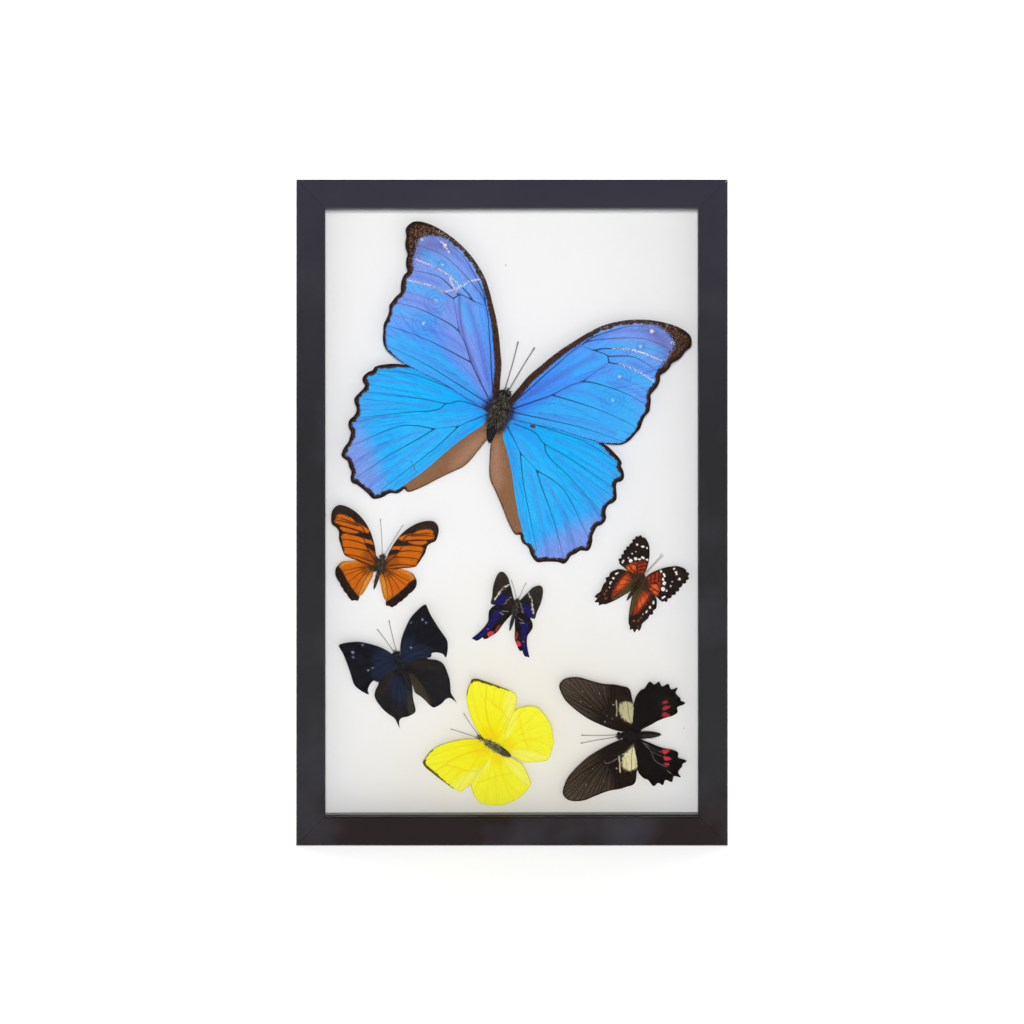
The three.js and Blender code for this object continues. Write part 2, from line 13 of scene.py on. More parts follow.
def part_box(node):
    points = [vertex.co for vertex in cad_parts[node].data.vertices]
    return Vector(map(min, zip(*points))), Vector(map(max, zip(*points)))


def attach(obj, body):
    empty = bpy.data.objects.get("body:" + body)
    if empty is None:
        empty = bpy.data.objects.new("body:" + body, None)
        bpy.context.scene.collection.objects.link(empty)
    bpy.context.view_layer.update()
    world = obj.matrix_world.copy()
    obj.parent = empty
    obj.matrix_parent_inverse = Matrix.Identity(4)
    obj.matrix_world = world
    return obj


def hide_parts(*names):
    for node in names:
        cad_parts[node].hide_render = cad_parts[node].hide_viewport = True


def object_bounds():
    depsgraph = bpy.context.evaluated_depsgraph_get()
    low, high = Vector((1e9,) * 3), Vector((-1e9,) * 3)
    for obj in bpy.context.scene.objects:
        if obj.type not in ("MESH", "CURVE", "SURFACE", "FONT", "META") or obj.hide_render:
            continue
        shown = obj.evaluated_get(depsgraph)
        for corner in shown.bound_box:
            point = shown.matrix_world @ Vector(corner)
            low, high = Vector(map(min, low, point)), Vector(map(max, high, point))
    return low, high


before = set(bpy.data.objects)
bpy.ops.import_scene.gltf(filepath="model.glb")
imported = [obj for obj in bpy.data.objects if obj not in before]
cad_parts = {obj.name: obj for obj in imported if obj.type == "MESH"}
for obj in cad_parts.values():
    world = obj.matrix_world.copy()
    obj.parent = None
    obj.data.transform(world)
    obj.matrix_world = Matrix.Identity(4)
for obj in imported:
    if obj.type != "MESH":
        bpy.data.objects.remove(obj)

CAD_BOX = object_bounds()
MM = 0.001

# ---------- the frame's own sizes ----------

FRAME_LOW, FRAME_HIGH = CAD_BOX
CARD_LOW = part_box("backing_card")[0]
GLASS_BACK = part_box("glass_pane")[1].y
REST_GAP = 0.3 * MM  # free gap between the card and what lies on it
REST_Y = CARD_LOW.y - REST_GAP  # the plane that the butterflies rest on

# ---------- camera ----------

# The eye is straight in front of the glass, a little left of the middle.
CAMERA_AT = Vector((-23 * MM, FRAME_LOW.y - 640 * MM, 176 * MM))
LENS = 52.83
SENSOR = 36
SHIFT = (0.0527, -0.0774)


def set_camera():
    data = bpy.data.cameras.new("camera")
    data.lens, data.sensor_width = LENS, SENSOR
    data.shift_x, data.shift_y = SHIFT
    camera = bpy.data.objects.new("camera", data)
    camera.location = CAMERA_AT
    camera.rotation_euler = (math.radians(90), 0, 0)
    bpy.context.scene.collection.objects.link(camera)
    bpy.context.scene.camera = camera


set_camera()

# ---------- small helpers ----------


def linear(code, gain=1):
    """An sRGB colour such as #3A2B1C as the linear values that shaders take, made brighter by gain."""
    parts = [int(code[i : i + 2], 16) / 255 for i in (1, 3, 5)]
    return tuple(gain * (c / 12.92 if c <= 0.04045 else ((c + 0.055) / 1.055) ** 2.4) for c in parts) + (1,)


def feed(tree, node, inputs):
    """Sets a node's sockets, each to a value or to what feeds it. A node feeds its first output."""
    for key, value in inputs.items():
        if isinstance(value, bpy.types.Node):
            value = next(socket for socket in value.outputs if socket.enabled)
        if isinstance(value, bpy.types.NodeSocket):
            tree.links.new(value, node.inputs[key])
        else:
            node.inputs[key].default_value = value


def add(tree, kind, inputs=None, stops=(), **settings):
    """Adds a node: settings are its own choices, inputs its sockets' values or what feeds them,
    and stops a colour ramp's places and sRGB colours, in rising order. A Mix node's sockets
    0, 6 and 7 are its share and its two colours."""
    made = tree.nodes.new(kind)
    for key, value in settings.items():
        setattr(made, key, value)
    for _ in stops[2:]:
        made.color_ramp.elements.new(0.5)
    for i, (at, code) in enumerate(stops):
        stop = made.color_ramp.elements[i]
        stop.position, stop.color = at, linear(code)
    feed(tree, made, inputs or {})
    return made


def new_material(name, **sockets):
    """A material with one Principled shader, whose even values are set on its own sockets."""
    made = bpy.data.materials.new(name)
    made.use_nodes = True
    shader = made.node_tree.nodes["Principled BSDF"]
    feed(made.node_tree, shader, {key.replace("_", " "): value for key, value in sockets.items()})
    return made, made.node_tree, shader


def even(name, code, roughness, **sockets):
    """A finish of one even colour."""
    return new_material(name, Base_Color=linear(code), Roughness=roughness, **sockets)[0]


def new_piece(name, mesh, *materials):
    piece = bpy.data.objects.new(name, mesh)
    bpy.context.scene.collection.objects.link(piece)
    for material in materials:
        mesh.materials.append(material)
    return piece


def dressed(piece, node):
    """Makes a piece stand for a plain part, which it moves with."""
    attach(piece, "root")
    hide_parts(node)
    return piece


def plain_mesh(source, name):
    """The evaluated shape of an object as a plain mesh."""
    graph = bpy.context.evaluated_depsgraph_get()
    mesh = bpy.data.meshes.new_from_object(source.evaluated_get(graph), depsgraph=graph)
    mesh.name = name
    return mesh


def smooth_mesh(name, points, faces, sharp=None):
    """A smooth-shaded mesh, with a hard edge where its faces meet at more than so many degrees."""
    mesh = bpy.data.meshes.new(name)
    mesh.from_pydata(np.asarray(points).tolist(), [], faces)
    mesh.polygons.foreach_set("use_smooth", [True] * len(faces))
    if sharp:
        mesh.set_sharp_from_angle(angle=math.radians(sharp))
    return mesh


def store(mesh, name, values, kind="FLOAT", field="value"):
    """Keeps a value for each of a mesh's corners."""
    mesh.attributes.new(name, kind, "POINT").data.foreach_set(field, np.ravel(values))


# ---------- plane geometry, on arrays of points in mm ----------


def smooth(points, step, closed=False):
    """A smooth curve through the points, with a point about every step."""
    p = np.array(points, float)
    if closed:
        p = np.vstack([p[-1:], p, p[:2]])
    else:
        p = np.vstack([2 * p[0] - p[1], p, 2 * p[-1] - p[-2]])
    run = []
    for a, b, c, d in zip(p[:-3], p[1:-2], p[2:-1], p[3:]):
        count = max(1, round(math.dist(b, c) / step))
        t = np.arange(count)[:, None] / count
        bend = (2 * a - 5 * b + 4 * c - d) * t**2 / 2 + (3 * b - a - 3 * c + d) * t**3 / 2
        run.append(b + (c - a) * t / 2 + bend)
    return np.vstack(run if closed else [*run, p[-2:-1]])


def nearest(at, path):
    """Each point's distance to a path, and how far along the path its nearest place lies, 0 to 1."""
    start, along = path[:-1], np.diff(path, axis=0)
    length = np.hypot(*along.T)
    away = at[:, None, :] - start[None]
    share = np.clip((away * along).sum(2) / np.maximum(length**2, 1e-12), 0, 1)
    gap = np.hypot(away[..., 0] - share * along[:, 0], away[..., 1] - share * along[:, 1])
    rows, best = np.arange(len(at)), gap.argmin(1)
    passed = np.concatenate([[0], np.cumsum(length)])
    return gap[rows, best], (passed[best] + share[rows, best] * length[best]) / passed[-1]


def closed_path(outline):
    return np.vstack([outline, outline[:1]])


def inside(at, outline):
    """True for the points that lie inside a closed outline."""
    a, b = outline, np.roll(outline, -1, axis=0)
    y = at[:, 1, None]
    crossed = (a[:, 1] > y) != (b[:, 1] > y)
    with np.errstate(divide="ignore", invalid="ignore"):
        x = a[:, 0] + (y - a[:, 1]) * (b[:, 0] - a[:, 0]) / (b[:, 1] - a[:, 1])
    return (crossed & (at[:, 0, None] < x)).sum(1) % 2 == 1


# ---------- wing markings ----------

# Each marking is a function of a wing's points that says how far inside it they lie, in mm:
# above zero inside, below zero outside. Its edge is where the material turns to its colour.

MARK_STEP = 0.5  # spacing of the points on a marking's outline
FAR = 20  # distances past this don't matter


def patch(*points):
    """An area with a smooth outline."""
    outline = smooth(points, MARK_STEP, closed=True)

    def depth(wing, at):
        gap = nearest(at, closed_path(outline))[0]
        return np.where(inside(at, outline), gap, -gap)

    return depth


def lines(width, *paths):
    """Streaks along smooth paths."""
    runs = [smooth(path, MARK_STEP) for path in paths]
    return lambda wing, at: width / 2 - np.min([nearest(at, run)[0] for run in runs], axis=0)


def line(width, *points):
    return lines(width, points)


def circles(radius, width, *points):
    """Thin circles round points."""

    def depth(wing, at):
        return np.max([width / 2 - abs(np.hypot(*(at - spot).T) - radius) for spot in points], axis=0)

    return depth


def dots(radius, *points):
    """Round spots."""
    return lambda wing, at: radius - np.min([np.hypot(*(at - spot).T) for spot in points], axis=0)


def band(*knots):
    """A band along the wing's margin: (share of the margin's length, width) pairs. Past the
    front edge its inner side waves a little."""
    shares, widths = zip(*knots)

    def depth(wing, at):
        outer = np.clip(wing["share"] * 8 - 1.2, 0, 1)
        wave = 1 + outer * (0.14 * np.sin(150 * wing["share"]) + 0.1 * np.sin(410 * wing["share"]))
        return np.interp(wing["share"], shares, widths) * wave - wing["edge"]

    return depth


def veins(wide, narrow, *paths):
    """The veins: each is thickest where it starts."""
    runs = [smooth(path, MARK_STEP) for path in paths]

    def depth(wing, at):
        deepest = np.full(len(at), -float(FAR))
        for run in runs:
            gap, share = nearest(at, run)
            deepest = np.maximum(deepest, (wide + (narrow - wide) * share) / 2 - gap)
        return deepest

    depth.runs = runs
    return depth


# ---------- the butterflies ----------

# Every butterfly is described in its own frame: x to its right side, y towards its head and z
# up from the card. Outlines and markings are of the right wings, from the front edge's base
# round to the inner edge's base; `right` and `left` say how each wing was set: turned about
# the thorax (degrees, anticlockwise on the right side), sized and shifted. Each paint is a
# marking, its colour, the softness and the raggedness of its edge, its strength and, for a
# speckled marking, the colour and the share of its specks.
AS_DRAWN = (0, 1, (0, 0))

MORPHO_FORE = dict(
    outline=[
        (2.8, 7.6), (5, 12.8), (7.4, 18.3), (10.6, 23.4), (14.2, 29), (17.9, 34), (21.4, 38.1),
        (25.8, 43.1), (30.3, 47.5), (35.2, 50.8), (40.3, 53.4), (45.6, 55.3), (51.2, 56.6), (56.9, 57.2),
        (61.7, 57.1), (65.5, 56.3), (68, 55), (69.3, 53.1), (69.7, 50.5), (68.1, 48), (67.2, 45.3),
        (66, 43.4), (64, 41.3), (63.7, 39.5), (62.6, 37.1), (60.9, 35), (61.4, 33.1), (61.2, 30.4),
        (60.2, 27.7), (59.4, 25.7), (60.2, 23.5), (60.7, 20.8), (61, 18.8), (59.8, 16), (59.5, 13.2),
        (59.4, 10.6), (58.2, 7.8), (56.8, 4.7), (55.1, 2.6), (53.1, 1.3), (49.8, 0.4), (45.9, -0.2),
        (36.5, -0.5), (25.8, -0.4), (18.8, -1), (11.9, -1.7), (2.5, -2.4),
    ],
    right=AS_DRAWN,
    left=(10, 1.013, (1.2, -0.3)),
    ground=((0, "#3A4CB0"), (0.14, "#3E7CE6"), (0.4, "#4F97F3"), (0.75, "#68A6F5"), (1, "#8196DC")),
    veins=veins(
        0.62, 0.15, [(4.8, 2.4), (13, 8.4), (19, 13), (25, 19), (29.5, 22.4), (34, 28.2), (38.3, 33.7)],
        [(38.3, 33.7), (36.3, 36.5), (31.4, 36.7), (25.7, 37)],
        [(4.4, 5), (10, 14), (16.5, 25), (25.3, 38), (35.7, 43.6), (49.8, 47.9), (61.8, 47)],
        [(25.3, 38), (27.4, 41), (33.5, 45.8), (41.8, 51), (48.3, 53.2)],
        [(30, 36.6), (35.8, 39.2), (46.8, 41.9), (60, 41.2)],
        [(37.2, 36.2), (46.5, 39), (52.7, 38.3), (58.3, 36.6)],
        [(38.3, 33.7), (44, 34.4), (49.6, 34.1), (59.8, 31.6)],
        [(29.3, 22.4), (34.2, 23.4), (41, 23.6), (49.9, 23.1), (59.4, 21)],
        [(19, 13.1), (29.6, 13.3), (40, 13.1), (48.2, 12.3), (58.6, 10.6)],
        [(4.6, 1), (21, 2.5), (36, 3.6), (55, 3.2)],
    ),
    marks=dict(
        # Haze and glow are the wing's own violet and cyan, and partly painted sheen where the scales catch
        # the light.
        haze=[patch((30, 46), (38, 51), (50, 55.5), (64, 54), (64, 45), (54, 42), (42, 43))],
        glow=[
            patch((9, 2), (22, 8), (40, 11), (54, 8), (50, 2), (30, 0.8), (12, -0.5)),
            line(3, (43, 31.6), (50, 31.4), (57, 30)), line(2.4, (43, 21), (50, 20.6), (57, 18.6)),
            line(2.6, (26, 26), (31, 31.4), (36, 35)), line(2.2, (36, 39.6), (46, 44), (58, 45)),
        ],
        shade=[
            line(1.9, (10, 10), (17, 18.6), (25, 27.4), (32, 34.4)),
            lines(
                1.2, [(24, 17), (34, 18.4), (44, 16.4)], [(40, 25.4), (50, 25.6), (57, 24)],
                [(22, 33.6), (28, 40), (36, 46.4)],
            ),
            line(1.4, (16, 3), (34, 6), (50, 5.6)), line(1.6, (34, 46), (44, 50), (54, 51.6)),
            line(1.3, (46, 36.6), (53, 35.6), (58.6, 34)),
        ],
        # Painted shade along the wing's folds between the veins.
        fold=[
            lines(
                0.34, [(7, 1.6), (28, 6.6), (45, 7.6), (56, 7.2)],
                [(45, 28.9), (51.5, 28.4), (58.6, 26.8)], [(45, 18.5), (51.4, 17.6), (58.6, 15.3)],
            ),
            lines(
                0.3, [(50, 44.2), (56, 44.6), (62, 43.8)], [(11, 6.4), (22, 10.2), (34, 10.6)],
                [(26, 9.4), (34, 9.6), (42, 8.6)], [(7, 7), (14, 14.6), (22, 24.6), (31, 34.6)],
            ),
            lines(
                0.26, [(8, 8.6), (16, 19), (24, 29)], [(24, 15.4), (34, 16.2), (42, 14.6)],
                [(34, 21.4), (44, 21), (52, 19.4)], [(16, 4.6), (28, 5), (38, 3)],
            ),
        ],
        halo=[
            circles(1.7, 0.5, (49.1, 44.4), (44.3, 29.3), (44.6, 18.8)),
            circles(3.3, 0.5, (44.3, 29.3), (44.6, 18.8)), circles(4.9, 0.45, (44.3, 29.3), (44.6, 18.8)),
        ],
        rubbed=[
            line(0.34, (38, 39.8), (46.8, 41.9), (60, 41.2)),
            line(0.3, (42, 34.6), (49.6, 34.1), (59, 31.8)),
            dots(0.42, (49.1, 44.4), (44.3, 29.3), (44.6, 18.8)), dots(0.8, (51.7, 52), (61.8, 50.1)),
        ],
        border=[band(
            (0, 3), (0.1, 2.9), (0.2, 2.2), (0.3, 1.8), (0.4, 1.9), (0.46, 3.1), (0.5, 2.8), (0.56, 2.3),
            (0.62, 1.9), (0.7, 1.4), (0.75, 0.8), (0.79, 0.2), (1, 0.15),
        )],
        apex=[patch(
            (47, 54.9), (53.7, 54.6), (59.4, 52.6), (62.2, 49.6), (62.2, 46.6), (61.4, 43.7),
            (61.2, 41.4), (60, 38.9), (59.8, 35.6), (66, 36), (73, 44), (74, 54), (68, 60), (56, 60.5),
            (45, 57),
        )],
        worn=[band((0, 0.3), (0.2, 0.5), (0.26, 1.4), (0.4, 1.5), (0.45, -1), (1, -1))],
        rim=[band(
            (0, 0.25), (0.2, 0.25), (0.36, 0.7), (0.45, 1.5), (0.5, 1.3), (0.62, 0.9), (0.74, 0.6),
            (0.79, 0.1), (1, 0.1),
        )],
        dust=[patch((47, 53), (54, 53.6), (60, 51), (62, 46), (60, 42), (57, 44), (55, 48), (50, 50))],
        root=[patch((0, -4), (5.6, -3.4), (6, 0), (5, 5), (4.6, 9), (3, 10), (-2, 8))],
    ),
    extra=dict(
        right=dict(
            # Painted sheen: the right forewing is painted brighter cyan, as its scales catch more light.
            glow=[patch((8, 0), (18, 9), (32, 22), (44, 26), (56, 18), (57, 5), (40, 0.6), (20, -0.6))],
        ),
        left=dict(
            # Painted shade in a crease of the left forewing.
            crease=[line(1.1, (37, 37), (33.4, 30), (28, 22.6), (20, 15), (12, 8))],
            # Painted sheen: the left forewing is painted paler violet in patches, as its scales catch the
            # light at another angle.
            haze=[
                patch((6, 3), (10, 12), (24, 30), (34, 40), (44, 36), (40, 22), (24, 10)),
                patch(
                    (36, 33), (42, 24), (52, 17), (58, 18), (62, 30), (66, 44), (60, 55), (44, 55),
                    (34, 48), (30, 40),
                ),
            ],
            rubbed=[
                line(0.5, (42.6, 34.8), (39.6, 37.4), (37.4, 40), (35.4, 43.4), (30.4, 47.4)),
                line(0.45, (38.2, 36.6), (41.4, 38.6), (43.4, 40.6)),
                line(0.4, (48.6, 50), (51.4, 51.6), (54.4, 52.8)),
            ],
        ),
    ),
)

MORPHO_HIND = dict(
    outline=[
        (2.1, 0.6), (8.8, 3.7), (18.9, 4.6), (29.6, 3.4), (39.1, 1.9), (46.6, -0.2), (49.7, -1.3),
        (52.5, -2.8), (54.9, -4.3), (56.4, -5.8), (56.4, -7.1), (57.9, -8.7), (58.9, -10.5),
        (59.1, -12.2), (58.2, -13.6), (57, -14.3), (57, -15.9), (57.8, -18), (58.6, -20.1), (58.8, -21.6),
        (57.8, -23.3), (56.5, -24.4), (55.9, -26.2), (56.1, -28.3), (57, -30.1), (56.9, -32.2),
        (55.8, -33.9), (54.5, -35), (54, -37.2), (53.8, -39.4), (54.4, -41.7), (54.5, -44.5),
        (53.6, -46.2), (50.8, -46.9), (49.3, -48.7), (47.5, -50.4), (46.9, -52.7), (45.6, -54.5),
        (43.2, -54.5), (40.3, -55.2), (37.3, -56.2), (34.8, -57.2), (32.7, -56.4), (30.8, -54.7),
        (29.5, -52.8), (28.1, -51.8), (26.3, -51.3), (24.9, -49.8), (24.1, -48.2), (22.7, -48.7),
        (20.8, -47.9), (16.6, -43.4), (12.8, -38.6), (8.4, -33.5), (5.2, -29.9), (3.4, -26.2), (2, -21.1),
        (0.9, -16.9), (0.4, -13.7), (0.9, -10.3), (1.9, -5.2),
    ],
    right=AS_DRAWN,
    left=(6.2, 1.011, (-0.4, 1.6)),
    ground=((0, "#3B62CC"), (0.16, "#14A8F6"), (0.5, "#12BBFA"), (0.78, "#31AEF4"), (1, "#6E9FE8")),
    veins=veins(
        0.5, 0.15, [(4, -4.6), (10.8, -11.4), (13.5, -14.3), (18.6, -17.3), (22.4, -19.6)],
        [(22.4, -19.6), (31.1, -21.8), (37.2, -25), (44, -31.6), (53.4, -42)],
        [(22.4, -19.6), (27.4, -26.6), (36.3, -38.6), (45, -52.4)],
        [(13.5, -14.3), (18.6, -26.1), (24.6, -37.4), (33, -52.6)],
        [(7.3, -3.4), (16.9, -4.4), (22.2, -7.7), (32, -10), (44, -13.4), (56, -17.2)],
        [(22.2, -7.7), (25.5, -12.3), (37, -18.4), (55, -29)],
        [(10, -1), (30.5, -1.4), (42, -2.4), (55.4, -6.8)],
    ),
    marks=dict(
        haze=[patch((46, -37), (54, -33), (56, -40), (54, -48), (44, -56), (34, -58), (36, -48))],
        glow=[patch((10, -7), (24, -14), (34, -20), (34, -32), (26, -42), (18, -28), (11, -15))],
        shade=[
            line(1.1, (26, -5), (40, -6.4), (56, -11.6)),
            lines(
                1.2, [(28, -10.6), (42, -16.6), (55, -23)], [(38, -20.8), (47, -25), (55.6, -32)],
                [(20, -21), (29, -36), (38, -53)],
            ),
            line(1.3, (27, -22.6), (38, -33), (48, -46.6)), line(1, (10, -14), (15.6, -27), (25, -46)),
            lines(0.9, [(8, -4), (18, -8), (24, -13)], [(6, -6), (14, -12), (20, -15.6)]),
        ],
        # Painted shade along the wing's folds between the veins.
        fold=[
            lines(
                0.3, [(34, -27), (41.5, -36), (49, -47.4)], [(11, -13), (15.6, -24), (22, -36.4)],
                [(43, -23), (48, -27.6), (54.6, -35)], [(24, -23.4), (36, -37), (42, -51)],
                [(28, -12), (40, -15.4), (55, -20)], [(26, -9), (40, -10), (56, -13.4)],
                [(17, -18), (28, -37), (38, -54)],
            ),
            lines(
                0.28, [(30, -17), (44, -23), (56, -31.4)], [(26, -4), (42, -4.4), (57, -9)],
                [(15, -20), (20, -31), (29, -49)],
            ),
            lines(
                0.26, [(24, -16), (34, -20), (46, -27)], [(31, -25.6), (40, -37), (47, -48.6)],
                [(12, -9), (18, -12.6), (23, -17)],
            ),
        ],
        border=[band(
            (0, 0.5), (0.15, 0.5), (0.21, 0.8), (0.25, 1.8), (0.68, 1.9), (0.72, 1.2), (0.75, 0.3),
            (1, 0.3),
        )],
        rim=[band((0, 0.1), (0.2, 0.4), (0.25, 0.95), (0.68, 0.95), (0.73, 0.3), (1, 0.12))],
        lap=[patch(
            (3, -5), (4.6, -10.2), (8.6, -16.3), (12.7, -23.6), (16.6, -31.8), (20.3, -39.2),
            (23.4, -44.4), (26.8, -50.8), (24, -54), (12, -44), (-2, -30), (-3, -12),
        )],
        lap_middle=[patch((2.6, -13), (6.6, -20), (9.4, -28), (8.6, -32), (4.6, -26), (2, -18))],
        root=[patch((0, -9), (3.6, -8.6), (5.4, -4), (5, 3), (0, 4))],
    ),
    extra=dict(
        right=dict(
            hole=[patch((13.9, -1.9), (15.3, -1.3), (16.8, -1.9), (15.9, -2.9), (14.4, -2.7))],
        ),
        left=dict(
            hole=[
                line(0.42, (26.4, -36), (24.6, -37.6), (22.4, -39.6)),
                line(0.36, (24.6, -37.6), (25.4, -39.8)),
            ],
        ),
    ),
)

BLUE_MORPHO = dict(
    slot="morpho",
    powder=0.24,
    at=(-4.9, 185.3),
    heading=17.4,
    thorax=(8.4, 11, 6.4),
    head=(7.6, 2.1),
    abdomen=(-14.4, 2.3, -1),
    antennae=[(-1.5, 30.7), (6, 30.5)],
    legs=2,
    wing_at=4.3,
    rise=0.02,
    step=0.62,
    thick=0.25,
    pleat=0.22,
    fore=MORPHO_FORE,
    hind=MORPHO_HIND,
    tints=("#3569DE", "#1CBAFB"),
    paints=[
        # haze and glow: the wing's own violet and cyan, partly painted sheen.
        ("haze", "#8398E4", 11, 1.5, 0.75),
        ("dust", "#6660A0", 4, 8, 0.65),
        ("glow", "#35B4F8", 5, 1.2, 0.7),
        ("shade", "#5666D2", 1.5, 0.8, 0.42),
        ("halo", "#3A6CCB", 0.8, 0.3, 0.5),
        ("lap", "#8A6446", 0.35, 0.25, 1),
        ("lap_middle", "#AC8069", 7, 1, 0.9),
        # Painted shade along the folds.
        ("fold", "#2A5598", 0.5, 0.3, 0.6),
        # Painted shade in the left forewing's crease.
        ("crease", "#5A4DA6", 1.2, 0.7, 0.7),
        ("veins", "#232C5E", 0.3, 0.14, 0.88),
        ("rubbed", "#EDE0D2", 0.3, 1, 0.88),
        ("border", "#4A3024", 0.5, 1, 1, "#2A1B15", 0.5),
        ("apex", "#2E1F17", 1, 3.2, 1, "#73543A", 0.48),
        ("rim", "#1F1511", 0.6, 1.1, 0.9),
        ("worn", "#3A2A22", 0.5, 0.9, 0.7, "#C9B59E", 0.36),
        ("root", "#2A211C", 2.2, 3.4, 0.95),
        ("hole", "#57452F", 0.3, 0.2, 1),
    ],
    fur=("#211E1A", "#A39A86"),
    skin="#151417",
)

LONGWING_FORE = dict(
    outline=[
        (1.7, 3.6), (2.2, 7.3), (3.3, 11.2), (4.8, 14.8), (7, 18.2), (9.8, 21.1), (12.6, 23), (15.1, 24),
        (17.2, 24.2), (18.9, 23.2), (20, 21.4), (20.3, 18.9), (20, 16.4), (18.3, 14.9), (17.2, 13.5),
        (17, 11.7), (17, 10.2), (16.3, 7.9), (15.5, 5.5), (14.6, 3.5), (12.4, 2.4), (9.1, 1.2), (6, -0.2),
    ],
    right=AS_DRAWN,
    left=(-14.6, 1.039, (0.4, 0.7)),
    ground=((0, "#2C2019"), (1, "#2F241D")),
    veins=veins(
        0.55, 0.38, [(2, 1), (4.5, 5), (5.9, 7.9), (7, 10.6)], [(6.4, 8), (10.5, 9.4), (15.6, 10.2)],
        [(4.9, 5.1), (10, 6.3), (15.4, 6.9)], [(3.3, 0.9), (9.1, 2.9), (14.6, 3.9)],
        [(6.4, 12.9), (8.3, 15.7), (16.4, 18.8)], [(7.6, 13.2), (13, 14.8), (18.9, 16.3)],
        [(9.2, 15.6), (14, 17.1), (19.2, 18.2)],
    ),
    marks=dict(
        orange=[
            patch((10.2, 17), (12.4, 19), (15.6, 20.3), (17.4, 20.3), (18.2, 19.4), (14.4, 18.2)),
            patch(
                (4.4, 13.5), (7, 15.5), (11.5, 17.3), (17.3, 18.9), (18.9, 17.8), (17.6, 16.4),
                (12.1, 14.9), (6.4, 12.8),
            ),
            patch((8.8, 12.9), (12.7, 14.4), (16.4, 15.3), (15.9, 13.9), (12.7, 12.7)),
            patch(
                (2.4, 7.8), (4.5, 9.9), (10.4, 11.5), (14.9, 12.3), (16, 11.2), (15.5, 9.4), (15.5, 7.9),
                (14.7, 6.1), (14.1, 3.7), (7.7, 1.3), (2.4, -0.7), (1.6, 0.9), (2.2, 4.2), (3.4, 5.6),
                (6.1, 7.5), (5.8, 8.5),
            ),
        ],
        bar=[
            patch((1.8, 5), (2.5, 7.4), (5.6, 8.6), (6, 7.5), (3.4, 5.5)),
            patch((4.5, 10), (6, 12.4), (9.6, 12.4), (8.8, 11.2), (6, 10.2)),
        ],
        shade=[patch((0, -2), (5, 0), (7.4, 3.4), (5, 7), (2, 6))],
        root=[patch((0, -2), (2.4, -0.8), (2.6, 1.6), (1.8, 4), (0, 4))],
    ),
)

LONGWING_HIND = dict(
    outline=[
        (3.3, 1.1), (7.1, 1.9), (9.2, 1), (12.1, 0.7), (14.4, 0.1), (15.8, -1.2), (16.8, -2.7),
        (17, -4.8), (16.3, -6.8), (14.8, -9.3), (13.3, -11.8), (11.7, -13.7), (9.9, -16), (8.4, -16),
        (7, -16.2), (5.7, -13.9), (4.2, -11.8), (2.3, -8), (1.1, -5.5), (0.8, -3.7),
    ],
    right=AS_DRAWN,
    left=(-12.5, 1.013, (2.1, 0.2)),
    teeth=(0.42, 0.78, 6, 0.35),
    ground=((0, "#2A1E17"), (1, "#241A14")),
    veins=veins(
        0.36, 0.22, [(2.2, -1.4), (6.7, -1.8), (10.2, -2.7), (13.4, -3.3)],
        [(4.2, -2), (8.1, -3.4), (13.2, -5.6)], [(3.9, -2.8), (7.6, -5.1), (11.4, -8.6)],
        [(3.7, -3.6), (6.3, -6.8), (8.9, -11.9)], [(2, -2.6), (4.6, -7.6), (7.2, -14.2)],
    ),
    marks=dict(
        orange=[patch(
            (1.4, -1.6), (4.6, -0.2), (9.2, 1), (13, 0.3), (15.2, -1.6), (13.9, -3.6), (12, -7),
            (9.6, -10.6), (7.6, -12.9), (6.2, -14), (4.5, -11.4), (2.2, -7), (0.9, -4.4),
        )],
        pale=[
            patch((0.9, -4), (2.6, -3.2), (5, -7.7), (6.8, -12.4), (5.6, -13.4), (2.9, -9.3)),
            line(0.9, (8.4, 0.7), (12.1, 0.1), (14.9, -1.3)),
        ],
        shade=[patch((1.6, -0.4), (5.4, -0.2), (6.4, -2.6), (3.6, -5), (1.4, -4))],
        root=[patch((0, -3), (1.8, -3.4), (3.4, -1.4), (3, 1.2), (0, 2))],
    ),
)

ORANGE_LONGWING = dict(
    slot="longwing",
    at=(-55.9, 118.8),
    heading=15.1,
    thorax=(2.9, 5.6, 2.8),
    head=(3.8, 1.1),
    abdomen=(-10.7, 0.85, 0),
    antennae=[(-5.3, 19.4), (4.8, 19.4)],
    legs=2,
    wing_at=1.9,
    rise=0.04,
    step=0.33,
    thick=0.2,
    pleat=0.1,
    fore=LONGWING_FORE,
    hind=LONGWING_HIND,
    paints=[
        ("orange", "#C9650F", 0.6, 0.55, 1),
        ("pale", "#E09A38", 2.4, 0.7, 0.65),
        ("shade", "#7E3E10", 3, 0.9, 0.7),
        ("bar", "#2C201A", 0.35, 0.3, 1),
        ("veins", "#3E1F0E", 0.34, 0.22, 0.92),
        ("root", "#382A1E", 1.6, 0.5, 0.9),
    ],
    fur=("#2A2521", "#8D8775"),
    skin="#2A2521",
)

